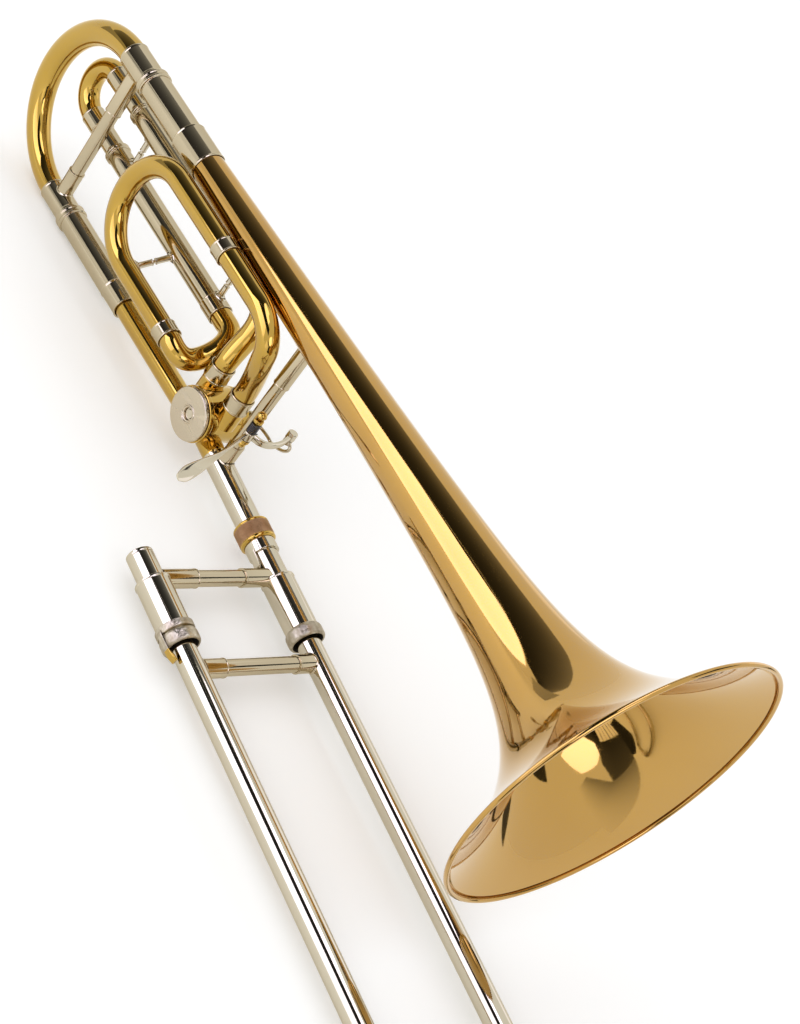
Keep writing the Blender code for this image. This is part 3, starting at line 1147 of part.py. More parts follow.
def make_moving_slide(nickel, rubber):
    """The half of the hand slide that the player's right hand draws."""
    bore = OUTER_TUBE_RADIUS - OUTER_TUBE_WALL
    seat = passing(OUTER_TUBE_RADIUS, GAP)
    wide = max(BOW_FERRULE_RADIUS, seat + SEAT_WALL)
    sleeve_start, sleeve_end = OUTER_TUBE_END - BOW_FERRULE_LENGTH, OUTER_TUBE_END + BOW_SEAT
    profile = [(OUTER_TUBE_START, OUTER_TUBE_RADIUS), (sleeve_start, OUTER_TUBE_RADIUS), (sleeve_start, wide),
               (sleeve_end, wide), (sleeve_end, seat), (OUTER_TUBE_END - GAP, seat),
               (OUTER_TUBE_END - GAP, bore), (OUTER_TUBE_START, bore)]
    for side, across in (("lower", 0.0), ("upper", SLIDE_SPACING)):
        slide_turned(profile, across, nickel, "outer_tube_" + side)
    ends = (slide_point(OUTER_BRACE_AT), slide_point(OUTER_BRACE_AT, SLIDE_SPACING))
    hosts = [(end, SLIDE_AXIS, OUTER_TUBE_RADIUS) for end in ends]
    sleeves = tuple(length + OUTER_TUBE_RADIUS for length in OUTER_BRACE_SLEEVES)
    brace("outer_brace", *ends, HAND_GRIP_RADIUS, HAND_GRIP_SLEEVE_RADIUS, sleeves, hosts, nickel)
    bow = piece("slide_bow", swept(bow_path(), OUTER_TUBE_RADIUS, bore, TUBE_SIDES, SLIDE_BELOW), nickel)
    centre = bow_centre()
    way = cos(NIPPLE_ANGLE) * SLIDE_AXIS + sin(NIPPLE_ANGLE) * SLIDE_ACROSS
    inner_wall = SLIDE_SPACING / 2.0 - OUTER_TUBE_RADIUS
    nipple_foot = centre + way * (inner_wall + NIPPLE_BITE)
    nipple_face = centre + way * (inner_wall - NIPPLE_LENGTH)
    add(bow, "nipple", rod(nipple_foot, nipple_face, NIPPLE_RADIUS, ROD_SIDES, SLIDE_BELOW))
    bore_start = nipple_foot + way * NIPPLE_RADIUS
    bore_end = nipple_face - way * NIPPLE_RADIUS
    cut(bow, "nipple_bore", rod(bore_start, bore_end, NIPPLE_BORE, ROD_SIDES, SLIDE_BELOW))
    pivot = slide_point(OUTER_TUBE_END + KEY_PIVOT_STATION, KEY_PIVOT_OFFSET)
    foot = slide_point(OUTER_TUBE_END + KEY_PIVOT_STATION, OUTER_TUBE_RADIUS * KEY_LUG_FOOT)
    top = pivot + SLIDE_ACROSS * KEY_LUG_TOP
    widths = (KEY_LUG_THICKNESS,) * 2
    for index, sign in enumerate((-1.0, 1.0)):
        side = SLIDE_BELOW * sign * (KEY_HUB_LENGTH / 2.0 + GAP + KEY_LUG_THICKNESS / 2.0)
        add(bow, "lug_%d" % index, bar([foot + side, top + side], widths, KEY_LUG_WIDTH, SLIDE_BELOW))
        beyond = SLIDE_BELOW * sign * KEY_LUG_THICKNESS
        cutter = rod(pivot + side - beyond, pivot + side + beyond, KEY_BORE + GAP, ROD_SIDES, SLIDE_AXIS)
        cut(bow, "lug_bore_%d" % index, cutter)
    make_guard(centre, nickel, rubber)
    make_water_key(pivot, nipple_face, way, nickel)


def make_guard(centre, nickel, rubber):
    """Guard at the bow's foremost point, and the rubber tip that meets the floor in use."""
    front = centre + SLIDE_AXIS * (SLIDE_SPACING / 2.0 + OUTER_TUBE_RADIUS)
    profile = [(-GUARD_BITE, GUARD_RADIUS), (GUARD_HEIGHT, GUARD_RADIUS)]
    guard = piece("bow_guard", turned(profile, front, SLIDE_AXIS, TUBE_SIDES, False, SLIDE_BELOW), nickel)
    size = passing(OUTER_TUBE_RADIUS, GAP, TUBE_SIDES)
    cut(guard, "seat", swept(bow_path(), size, None, TUBE_SIDES, SLIDE_BELOW))
    profile = [(GUARD_HEIGHT + GAP + height, TIP_RADIUS * share) for height, share in TIP_SHAPE]
    profile += [(TIP_LENGTH - TIP_EDGE, TIP_RADIUS), (TIP_LENGTH, TIP_RADIUS * TIP_FACE)]
    piece("rubber_tip", turned(profile, front, SLIDE_AXIS, TUBE_SIDES, False, SLIDE_BELOW), rubber)


def make_water_key(pivot, nipple_face, way, nickel):
    """The water key: a lever with a finger end and a pad that closes the bow's nipple."""
    half = KEY_HUB_LENGTH / 2.0
    profile = pipe_profile(-half, half, KEY_HUB_RADIUS, KEY_BORE + GAP)
    key = piece("water_key", turned(profile, pivot, SLIDE_BELOW, ROD_SIDES, True, SLIDE_AXIS), nickel, pivot)
    pad_face = nipple_face - way * GAP
    arm_end = pad_face - way * (PAD_THICKNESS + BITE)
    root = KEY_HUB_RADIUS - KEY_HUB_BITE
    path = [pivot + (arm_end - pivot).normalized() * root, arm_end]
    add(key, "arm", bar(path, KEY_ARM_WIDTHS, KEY_ARM_THICKNESS, SLIDE_BELOW))
    pad_back = pad_face - way * (PAD_THICKNESS + KEY_HUB_BITE)
    add(key, "pad", rod(pad_face, pad_back, PAD_RADIUS, ROD_SIDES, SLIDE_BELOW))
    path = [pivot - SLIDE_AXIS * root]
    for share, rise in KEY_TAIL_SHAPE:
        path.append(pivot - SLIDE_AXIS * KEY_TAIL * share + SLIDE_ACROSS * rise)
    add(key, "tail", bar(path, KEY_TAIL_WIDTHS, KEY_TAIL_THICKNESS, SLIDE_BELOW))
    reach = SLIDE_BELOW * KEY_PIN_HALF
    pin = rod(pivot - reach, pivot + reach, KEY_BORE - KEY_PIN_EASE, ROD_SIDES, SLIDE_AXIS)
    piece("water_key_pin", pin, nickel, pivot)


def make_slide_lock(brass):
    """The lock: a ring that turns on the upper collar, with a hook for the moving brace."""
    bore = passing(BARREL_RADIUS, RUN, TUBE_SIDES)
    ring_start, ring_end = BARREL_END + LOCK_RING_START, BARREL_END + LOCK_RING_END
    profile = pipe_profile(ring_start, ring_end, bore + LOCK_RING_WALL, bore)
    base = slide_point(0.0, SLIDE_SPACING)
    mesh = turned(profile, base, SLIDE_AXIS, LARGE_SIDES, True, SLIDE_ACROSS)
    lock = piece("slide_lock", mesh, brass, base)
    over = COLLAR_RADIUS + LOCK_HOOK_CLEAR
    root, root_rise = LOCK_HOOK_ROOT
    places = [(BARREL_END + root, bore + root_rise), (BARREL_END + LOCK_HOOK_SHOULDER, over)]
    places.append((COLLAR_END, over))
    places += [(COLLAR_END + along, COLLAR_RADIUS + rise) for along, rise in LOCK_HOOK_TIP]
    path = [base + SLIDE_AXIS * along + SLIDE_ACROSS * rise for along, rise in places]
    width_axis = SLIDE_AXIS.cross(SLIDE_ACROSS)
    add(lock, "hook", bar(path, LOCK_HOOK_WIDTHS, LOCK_HOOK_THICKNESS, width_axis))


def clear_scene():
    """Takes away whatever Blender starts with."""
    for old in list(bpy.data.objects):
        bpy.data.objects.remove(old, do_unlink=True)


def main():
    """Builds every piece of the horn."""
    clear_scene()
    material("helper", (0.5, 0.5, 0.5), 0.8, 0.0)
    brass = material("lacquered brass", BRASS, 0.16, 1.0)
    gold = material("gold brass", GOLD_BRASS, 0.16, 1.0)
    nickel = material("nickel silver", NICKEL, 0.18, 1.0)
    steel = material("blued steel", DARK_STEEL, 0.4, 1.0)
    rubber = material("black rubber", RUBBER, 0.7, 0.0)
    make_bell_section(brass, gold, nickel)
    make_tuning_slide(brass, nickel)
    arm_high = make_valve(brass, nickel, rubber, steel)
    make_trigger(brass, nickel, steel, arm_high)
    make_spring(steel)
    make_f_wrap(brass, nickel)
    make_f_slide(brass, nickel)
    make_stays(nickel)
    make_neck(brass, nickel)
    make_fixed_slide(nickel)
    make_moving_slide(nickel, rubber)
    make_slide_lock(brass)


main()
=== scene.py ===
# %% [markdown]
# # A tenor trombone with a thumb valve
# A trombone is mostly drawn tube: brass and nickel silver pipes that are bent, sleeved and soldered
# together, with one hammered bell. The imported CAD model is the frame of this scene. It holds every
# part at its right place and size, but its tubes have few sides. Here each one is made again, round
# and polished, and then takes the place of its CAD node.

# %% Load the frame
import json
from math import asin, cos, exp, pi, radians, sin, sqrt
import bmesh
import bpy
from mathutils import Matrix, Vector

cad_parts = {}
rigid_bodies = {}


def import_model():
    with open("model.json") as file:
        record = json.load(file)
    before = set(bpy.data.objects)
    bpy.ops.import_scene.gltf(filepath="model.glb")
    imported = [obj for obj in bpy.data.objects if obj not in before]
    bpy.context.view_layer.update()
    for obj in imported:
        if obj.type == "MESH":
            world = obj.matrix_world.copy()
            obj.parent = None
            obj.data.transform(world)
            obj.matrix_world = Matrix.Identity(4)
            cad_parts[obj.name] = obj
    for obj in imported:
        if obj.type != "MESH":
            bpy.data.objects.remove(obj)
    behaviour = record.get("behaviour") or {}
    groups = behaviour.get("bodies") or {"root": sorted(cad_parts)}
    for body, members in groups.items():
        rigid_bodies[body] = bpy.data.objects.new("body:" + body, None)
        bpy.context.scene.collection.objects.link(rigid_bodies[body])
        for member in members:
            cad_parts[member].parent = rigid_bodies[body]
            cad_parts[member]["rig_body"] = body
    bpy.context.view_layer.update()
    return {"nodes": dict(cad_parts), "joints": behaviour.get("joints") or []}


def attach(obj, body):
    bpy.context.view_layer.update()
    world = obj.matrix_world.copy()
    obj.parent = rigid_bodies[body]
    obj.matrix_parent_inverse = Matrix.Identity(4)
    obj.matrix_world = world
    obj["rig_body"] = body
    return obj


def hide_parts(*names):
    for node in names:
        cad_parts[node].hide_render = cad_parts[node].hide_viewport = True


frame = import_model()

# %% [markdown]
# ## The horn's own directions
# The horn lies a little nose down on its table, so no tube runs along a world axis. All pieces are
# made in the horn's own directions instead, in millimetres: u runs forward along the bell, v runs
# down from the bell to the slide, and w runs to the player's left. The bell's rim is at u = 0. The
# joints of the frame already know these directions, so one matrix is put together from them.

# %% The horn's directions, from three joints
MM = 0.001
joints = {joint["name"]: joint for joint in frame["joints"]}
ahead = -Vector(joints["main_tuning_slide_travel"]["axis"])
down = -Vector(joints["trigger_hinge"]["axis"])
left = -Vector(joints["rotor_turn"]["axis"])
VALVE = Vector((-373.6, 106.0, 0.0))
directions = Matrix((ahead, down, left)).transposed()
bell_rim = Vector(joints["rotor_turn"]["pos_m"]) - directions @ (VALVE * MM)
HORN = Matrix.Translation(bell_rim) @ directions.to_4x4() @ Matrix.Scale(MM, 4)
U = Vector((1.0, 0.0, 0.0))
V = Vector((0.0, 1.0, 0.0))
W = Vector((0.0, 0.0, 1.0))
print("bell rim at", [round(value, 4) for value in bell_rim])

# %% [markdown]
# ## The camera
# The photograph looks at the player's right side, from in front of the bell and above it. Its place
# was worked out from the tubes, whose directions and spacing are known: a long lens about 1.2 m off,
# tilted so that the slide runs out of the picture at the bottom.

# %% Camera
PICTURE_HEIGHT = 1024.0
FOCAL_PIXELS = 2175.45
eye_right = Vector((0.49342, -0.53854, 0.68301))
eye_down = Vector((0.76265, 0.64544, -0.04204))
eye_ahead = Vector((-0.41821, 0.54164, 0.72920))
offset = Vector((105.96, 125.21, 1182.61))
eye = -(eye_right * offset.x + eye_down * offset.y + eye_ahead * offset.z)
lens = bpy.data.cameras.new("camera")
lens.lens = lens.sensor_width * FOCAL_PIXELS / PICTURE_HEIGHT
lens.shift_x = -0.0203
lens.shift_y = 0.0433
lens.clip_start = 0.05
lens.clip_end = 50.0
camera = bpy.data.objects.new("camera", lens)
turn = directions @ Matrix((eye_right, -eye_down, -eye_ahead)).transposed()
camera.matrix_world = Matrix.Translation(HORN @ eye) @ turn.to_4x4()
bpy.context.scene.collection.objects.link(camera)
bpy.context.scene.camera = camera
print("camera at", [round(value, 3) for value in camera.location], "lens", round(lens.lens, 1), "mm")

# %% [markdown]
# ## Rings, skins and turned pieces
# Nearly every part is a row of rings with a skin over them. A turned piece has its rings on one
# straight axis, as on a lathe: its section is drawn once, as pairs of a length and a radius. Real
# edges are never razor sharp, and a polished one shows a thin line of light, so the section's
# corners are rounded first.

# %% Helpers for turned pieces
def ring(centre, axis, radius, sides, up):
    """Points of one round section."""
    side = (up - up.dot(axis) * axis).normalized()
    other = axis.cross(side)
    angles = [2.0 * pi * index / sides for index in range(sides)]
    return [centre + radius * (cos(angle) * side + sin(angle) * other) for angle in angles]


def skin(rings, closed, capped=True):
    """Faces between rings; the last joins the first, or both ends get a sharp-edged cap."""
    mesh = bmesh.new()
    loops = [[mesh.verts.new(point) for point in points] for points in rings]
    pairs = list(zip(loops, loops[1:]))
    if closed:
        pairs.append((loops[-1], loops[0]))
    elif capped:
        for loop in (loops[0], loops[-1]):
            for edge in mesh.faces.new(loop).edges:
                edge.smooth = False
    for first, second in pairs:
        for index in range(len(first)):
            after = (index + 1) % len(first)
            mesh.faces.new((first[index], first[after], second[after], second[index]))
    return mesh


def eased(section, size, closed):
    """Rounds the corners of a section, each by size or by what its sides have room for."""
    rounded = []
    count = len(section)
    for index, point in enumerate(section):
        if not closed and index in (0, count - 1):
            rounded.append(point)
            continue
        here = Vector(point)
        back = Vector(section[index - 1]) - here
        on = Vector(section[(index + 1) % count]) - here
        if back.length < 1e-6 or on.length < 1e-6:
            continue
        bend = back.angle(on)
        reach = min(size, back.length * 0.45, on.length * 0.45)
        if bend > radians(172.0) or reach < 0.004:
            rounded.append(point)
            continue
        start = here + back.normalized() * reach
        end = here + on.normalized() * reach
        for step in range(4):
            share = step / 3.0
            blend = start * (1 - share) ** 2 + here * 2 * share * (1 - share) + end * share ** 2
            rounded.append((blend.x, blend.y))
    return rounded


def turned(section, base, axis, sides=56, hollow=True, edge=0.25, up=V):
    """A piece from the lathe; section lists (length along the axis, radius)."""
    if abs(up.dot(axis)) > 0.9:
        up = W
    points = eased(section, edge, hollow)
    return skin([ring(base + along * axis, axis, radius, sides, up) for along, radius in points], hollow)


def pipe(start, end, outer, inner):
    """Section of a plain tube."""
    return [(start, outer), (end, outer), (end, inner), (start, inner)]


def mirrored(half, middle=0.0):
    """A section that is the same from both ends, from its first half."""
    return half + [(2.0 * middle - along, radius) for along, radius in half[::-1]]


def eyelet(half_width, outer, hole, chamfer=0.3):
    """Section of a short ring with a hole, as at the end of a lever."""
    return mirrored([(-half_width, hole), (-half_width, outer - 0.2), (chamfer - half_width, outer)])


# %% [markdown]
# ## Bent tubes
# A bent tube is drawn over a former: its section stays round while its axis follows a curve. Two
# kinds of curve are enough here. A half turn makes the crooks and bows, and a smooth S or hook
# between two directions makes the branches of the valve's long loop.

# %% Helpers for bent tubes
def drawn(path, outer, inner=None, sides=48, up=W):
    """A tube along a path; a radius is one value or runs from a first to a last value."""
    def at(radius, share):
        return radius[0] + (radius[1] - radius[0]) * share if isinstance(radius, tuple) else radius

    rings, bores = [], []
    side = up
    last = len(path) - 1
    for index, point in enumerate(path):
        axis = (path[min(index + 1, last)] - path[max(index - 1, 0)]).normalized()
        side = (side - side.dot(axis) * axis).normalized()
        rings.append(ring(point, axis, at(outer, index / last), sides, side))
        if inner is not None:
            bores.append(ring(point, axis, at(inner, index / last), sides, side))
    if inner is None:
        return skin(rings, False)
    return skin(rings + bores[::-1], True)


def half_turn(start, end, forward, steps, stretch=1.0):
    """A U bend from start to end that first runs in the direction of forward."""
    centre = (start + end) / 2.0
    arm = start - centre
    out = forward.normalized() * arm.length * stretch
    angles = [pi * index / steps for index in range(steps + 1)]
    return [centre + cos(angle) * arm + sin(angle) * out for angle in angles]


def flowing(start, start_way, end, end_way, steps):
    """A smooth path that leaves along start_way and arrives along end_way."""
    a, b, c, d = start, start + start_way, end - end_way, end
    shares = [index / steps for index in range(steps + 1)]
    return [a * (1 - t) ** 3 + b * 3 * t * (1 - t) ** 2 + c * 3 * t * t * (1 - t) + d * t ** 3
            for t in shares]


def straight(start, end, step=4.0, whole=False):
    """Evenly spaced points from start to end; the end itself is there only if the line is whole."""
    count = max(int((end - start).length / step), 1)
    return [start + (end - start) * (index / count) for index in range(count)] + [end] * whole


# %% [markdown]
# ## Forged pieces
# The thumb lever, the stop arm and the water key are not round. They are forged or cast and then
# filed, so their sections are soft rectangles whose width changes along the way. A smooth curve
# through a few points gives the way and the widths.

# %% Helpers for forged pieces
SOFT_CORNER = 0.62


def through(values, steps):
    """A smooth curve through values, which are numbers or points."""
    line = []
    last = len(values) - 1
    for index in range(last):
        a, b = values[max(index - 1, 0)], values[index]
        c, d = values[index + 1], values[min(index + 2, last)]
        for step in range(steps):
            t = step / steps
            line.append(0.5 * (b * 2 + (c - a) * t + (a * 2 - b * 5 + c * 4 - d) * t * t
                               + (b * 3 - a - c * 3 + d) * t ** 3))
    return line + [values[last]]


def forged(path, widths, thickness, width_axis, steps=8, dish=0.0, sides=28, twists=None):
    """A bar with soft edges along a path; dish curves it across, and twists turn it on its way."""
    way = through(path, steps)
    spans = through(list(widths), steps)
    heights = through(list(thickness), steps) if isinstance(thickness, tuple) else [thickness] * len(way)
    turns = through(list(twists), steps) if twists else [0.0] * len(way)
    rings = []
    last = len(way) - 1
    for index, point in enumerate(way):
        axis = (way[min(index + 1, last)] - way[max(index - 1, 0)]).normalized()
        across = (width_axis - width_axis.dot(axis) * axis).normalized()
        across = across * cos(turns[index]) + axis.cross(across) * sin(turns[index])
        face = axis.cross(across)
        section = []
        for corner in range(sides):
            angle = 2.0 * pi * corner / sides
            x = abs(cos(angle)) ** SOFT_CORNER * (1.0 if cos(angle) >= 0 else -1.0)
            y = abs(sin(angle)) ** SOFT_CORNER * (1.0 if sin(angle) >= 0 else -1.0)
            raised = y * heights[index] / 2 - dish * max(0.0, 1.0 - x * x)
            section.append(point + across * (x * spans[index] / 2) + face * raised)
        rings.append(section)
    return skin(rings, False)


def joined(*meshes):
    """Several meshes as one."""
    whole = meshes[0]
    for mesh in meshes[1:]:
        spare = bpy.data.meshes.new("spare")
        mesh.to_mesh(spare)
        mesh.free()
        whole.from_mesh(spare)
        bpy.data.meshes.remove(spare)
    return whole


# %% [markdown]
# ## Clear-lacquered brass
# The crooks and the bell are brass under a thin clear lacquer. The brass itself gives a yellow
# reflection, and the lacquer adds a faint white one, as a coat. Polishing leaves long soft waves
# and thin scratches, and lacquer has a fine skin of its own, so all three go into the bump. One more
# noise makes the gloss a little uneven, as hands and cloths do.

# %% Helpers for metal finishes
def wire(tree, node, inputs):
    """Sets or links inputs of a shader node."""
    for name, value in inputs.items():
        socket = node.inputs[name]
        if isinstance(value, bpy.types.NodeSocket):
            tree.links.new(value, socket)
        else:
            socket.default_value = value


def add_node(tree, kind, output, inputs, **settings):
    """Adds a shader node and gives back one of its outputs."""
    made = tree.nodes.new("ShaderNode" + kind)
    for name, value in settings.items():
        setattr(made, name, value)
    wire(tree, made, inputs)
    return made.outputs[output]


def metal(name, colour, shade, roughness, coat, edge=(1.0, 1.0, 1.0), wave=0.05, wave_size=18.0,
          grain=0.03, wear_and_crease_shade=0.35, patches=(14.0, 0.6)):
    """A metal surface: its colour drifts into a shade in patches of a size and strength, corners are
    rubbed bright, grooves and creases are darkened with painted shade, the gloss is uneven, and fine
    scratches, grain and slow waves lie in the surface."""
    surface = bpy.data.materials.new(name)
    surface.use_nodes = True
    tree = surface.node_tree
    place = add_node(tree, "TexCoord", "Object", {})
    corners = add_node(tree, "NewGeometry", "Pointiness", {})

    def noise(scale, detail, where=place):
        return add_node(tree, "TexNoise", "Fac", {"Vector": where, "Scale": scale, "Detail": detail})

    def spread(source, low, high, start=0.3, end=0.7):
        return add_node(tree, "MapRange", "Result", {
            "Value": source, "From Min": start, "From Max": end, "To Min": low, "To Max": high})

    def blended(share, first, second):
        return add_node(tree, "Mix", "Result", {"Factor": share, "A": first, "B": second}, data_type="RGBA")

    def raised(height, strength, distance, **under):
        return add_node(tree, "Bump", "Normal", {
            "Height": height, "Strength": strength, "Distance": distance, **under})

    rubbed = (*(min(1.0, value * 1.25 + 0.03) for value in colour), 1.0)
    # Near-black colour that concave grooves and creases are darkened towards: painted shade.
    painted_crease_shade = (*(value * 0.35 for value in shade), 1.0)
    drift = blended(spread(noise(patches[0], 4.0), 0.0, patches[1]), (*colour, 1.0), (*shade, 1.0))
    drift = blended(spread(corners, 0.0, wear_and_crease_shade, 0.515, 0.57), drift, rubbed)
    # Painted shade: concave places, found by pointiness, are darkened; the rubbed bright corners above are
    # wear.
    drift = blended(spread(corners, wear_and_crease_shade * 1.6, 0.0, 0.43, 0.485), drift, painted_crease_shade)
    drawn_out = add_node(tree, "Mapping", "Vector", {"Vector": place, "Scale": (1.0, 0.06, 1.0)})
    scratches = noise(220.0, 2.0, drawn_out)
    gloss = add_node(tree, "Math", "Value", {
        0: spread(noise(60.0, 6.0), roughness * 0.75, roughness * 1.5),
        1: spread(scratches, 0.0, roughness * 0.9, 0.58, 0.72)})
    slow = raised(noise(wave_size, 2.0), wave, 0.002)
    fine = raised(noise(900.0, 3.0), grain, 0.0002, Normal=slow)
    wire(tree, tree.nodes["Principled BSDF"], {
        "Base Color": drift, "Metallic": 1.0, "Roughness": gloss, "Specular Tint": (*edge, 1.0),
        "Coat Weight": coat, "Coat Roughness": 0.03,
        "Normal": raised(scratches, grain, 0.0001, Normal=fine)})
    return surface


# %% Metal finishes
brass = metal("lacquered brass", (0.50, 0.305, 0.030), (0.45, 0.26, 0.022), 0.045, 1.0, (0.92, 0.80, 0.45))
gold_brass = metal("gold brass", (0.51, 0.285, 0.047), (0.46, 0.245, 0.036), 0.05, 1.0,
                   (0.92, 0.78, 0.50), 0.07, 13.0)
nickel = metal("nickel silver", (0.54, 0.46, 0.31), (0.48, 0.40, 0.26), 0.065, 0.1, (0.80, 0.74, 0.62))
bright = metal("bright nickel", (0.60, 0.54, 0.41), (0.55, 0.49, 0.36), 0.04, 0.1, (0.80, 0.75, 0.66))
satin = metal("satin nickel", (0.62, 0.54, 0.40), (0.57, 0.49, 0.36), 0.19, 0.0,
              (0.80, 0.75, 0.66), 0.0, 30.0, 0.02)
worn_nickel = metal("worn nickel", (0.60, 0.545, 0.41), (0.36, 0.30, 0.20), 0.38, 0.0,
                    (0.6, 0.55, 0.5), 0.4, 300.0, 0.5, 0.8, (220.0, 1.0))
# The knurled band's fine dark mottle stands in for its tiny teeth: painted shade between the teeth, over the
# nut's own tan colour.
copper_tan = metal("knurled red brass", (0.46, 0.285, 0.155), (0.31, 0.18, 0.09), 0.32, 0.0,
                   (0.7, 0.6, 0.5), 0.1, 200.0, 0.2, 0.8, (200.0, 1.0))
print("7 metal finishes")

# %% [markdown]
# ## Dark pieces
# The return spring is blued steel, which is nearly black. Cork lines the barrels of the hand slide.
# The stop bumpers and the tip of the slide are rubber, which has a broad dull gloss and a dusty,
# pitted skin.

# %% Steel, cork and rubber
steel = metal("blued steel", (0.075, 0.07, 0.068), (0.045, 0.042, 0.042), 0.26, 0.0)
cork = metal("dark cork", (0.030, 0.022, 0.016), (0.012, 0.009, 0.007), 0.7, 0.0, wave=0.4,
             wave_size=400.0)
rubber = metal("black rubber", (0.018, 0.018, 0.018), (0.035, 0.033, 0.03), 0.55, 0.0, wave=0.2,
               wave_size=300.0)
for soft in (cork, rubber):
    soft.node_tree.nodes["Principled BSDF"].inputs["Metallic"].default_value = 0.0
print("dark finishes:", steel.name, cork.name, rubber.name)

# %% [markdown]
# ## Putting a piece on the frame
# A new mesh is brought from the horn's millimetres to the world, smoothed, and tied to the frame. It
# rides on the body of the node that it stands for, and that node is then hidden. Weighted normals
# keep the long faces true, so that a reflection runs straight up to each rounded edge. The slot, which
# of the CAD model's materials a piece stands for, is looked up, but the piece does not keep it.

# %% Helper that fits a piece
SLOTS = {"lacquered brass": "brass", "gold brass": "gold_brass", "nickel silver": "nickel_silver",
         "bright nickel": "nickel_silver", "satin nickel": "nickel_silver", "blued steel": "steel",
         "black rubber": "rubber"}


def fit(node, mesh, finish, others=(), slot=None):
    """Fits a mesh in place of a CAD node; others lists a finish with the test for its faces."""
    slot = slot or SLOTS[finish.name]
    bmesh.ops.remove_doubles(mesh, verts=mesh.verts, dist=0.0005)
    bmesh.ops.recalc_face_normals(mesh, faces=mesh.faces)
    for face in mesh.faces:
        face.smooth = True
        for place, (other, inside) in enumerate(others, 1):
            if inside(face.calc_center_median()):
                face.material_index = place
    mesh.transform(HORN)
    data = bpy.data.meshes.new(node + "_round")
    mesh.to_mesh(data)
    mesh.free()
    for surface in (finish, *(other for other, inside in others)):
        data.materials.append(surface)
    made = bpy.data.objects.new(node + "_round", data)
    bpy.context.scene.collection.objects.link(made)
    true = made.modifiers.new("true faces", "WEIGHTED_NORMAL")
    true.keep_sharp = True
    true.weight = 80
    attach(made, frame["nodes"][node]["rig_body"])
    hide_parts(node)


# %% [markdown]
# ## The bell
# A bell starts as a flat fan of sheet brass. It is wrapped, brazed along one seam and hammered and
# spun over a steel former, and its edge is rolled round a wire. Its outline is the sum of a straight
# taper, a slow flare and a quick one. The stations are close together near the rim, where the
# curve is tight.

# %% Bell
RIM = 106.35
BEAD = 1.6
BELL_LENGTH = 497.0
BELL_TAIL = 10.85
BELL_TAPER = 0.0231
SLOW_FLARE = 16.75
QUICK_FLARE = RIM - BELL_TAIL - BELL_TAPER * BELL_LENGTH - SLOW_FLARE
SHEET = 0.6


def bell_radius(behind):
    """Outer radius of the bell at a distance behind its rim."""
    slow = SLOW_FLARE * exp(-behind / 96.3)
    quick = QUICK_FLARE * exp(-behind / 30.2)
    return BELL_TAIL + BELL_TAPER * (BELL_LENGTH - behind) + slow + quick


outside, inside = [], []
for index in range(121):
    behind = (BELL_LENGTH - 1.2) * (1.0 - index / 120.0) ** 2.3 + 1.2
    slope = (bell_radius(behind - 0.1) - bell_radius(behind + 0.1)) / 0.2
    tilt = sqrt(1.0 + slope * slope)
    outside.append((-behind, bell_radius(behind)))
    inside.append((-behind + SHEET * slope / tilt, bell_radius(behind) - SHEET / tilt))
inside[0] = (-BELL_LENGTH, inside[0][1])
bead = []
for index in range(25):
    angle = radians(150.0 - index * 12.5)
    bead.append((BEAD * cos(angle), RIM + BEAD * sin(angle)))
section = outside + bead + inside[::-1]
bell_mesh = skin([ring(U * along, U, radius, 192, W) for along, radius in section], True)
fit("bell", bell_mesh, gold_brass)
print("bell rim", round(2 * (RIM + BEAD), 1), "mm across, length", BELL_LENGTH, "mm")

# %% [markdown]
# ## Outer tuning legs
# The bell's tail and the gooseneck each end in a nickel silver leg. The legs are the sockets that
# the tuning slide is drawn from, so they are stiff, and each has a rolled ring at its open end.

# %% Outer tuning legs, bell ferrule and gooseneck
SPACING = 119.5
RING_U = -570.5
LOWER = V * SPACING


def socket_ring(start, body, height=1.1, width=6.0):
    """Section points of a leg's ring: two beads with a soft groove between them."""
    top = body + height
    return [(start, top - 0.3), (start + 0.5, top), (start + 1.6, top), (start + 2.2, top - 0.45),
            (start + width - 2.2, top - 0.45), (start + width - 1.6, top), (start + width - 0.4, top),
            (start + width, body)]


UPPER = V * 0.0
section = socket_ring(RING_U, 10.7) + [(-511.5, 10.7), (-511.5, 9.9), (RING_U, 9.9)]
fit("upper_outer_leg", turned(section, UPPER, U), nickel)
section = [(-517.5, 11.6), (-516.9, 12.1), (-515.9, 11.85), (-490.2, 11.85), (-489.2, 12.1),
           (-488.5, 11.7), (-488.5, 11.5), (-517.5, 11.5)]
fit("bell_ferrule", turned(section, UPPER, U), nickel)
section = socket_ring(RING_U, 9.5) + [
    (-501.0, 9.5), (-500.4, 9.8), (-499.4, 9.35), (-483.0, 9.25), (-482.0, 9.5), (-482.0, 8.3),
    (-496.0, 8.3), (-500.0, 8.7), (RING_U, 8.7)]
fit("lower_outer_leg", turned(section, LOWER, U), nickel)
fit("gooseneck", turned(pipe(-495.5, -397.4, 7.75, 7.25), LOWER, U), brass)
print("tuning legs", SPACING, "mm apart")

# %% [markdown]
# ## The main tuning slide
# The player tunes the horn by drawing this crook. It is one bent brass tube with a ferrule on each
# end, a nickel leg in each ferrule, and a brace that keeps the legs parallel. The tube narrows a
# little on its way round, because the whole bore grows towards the bell.

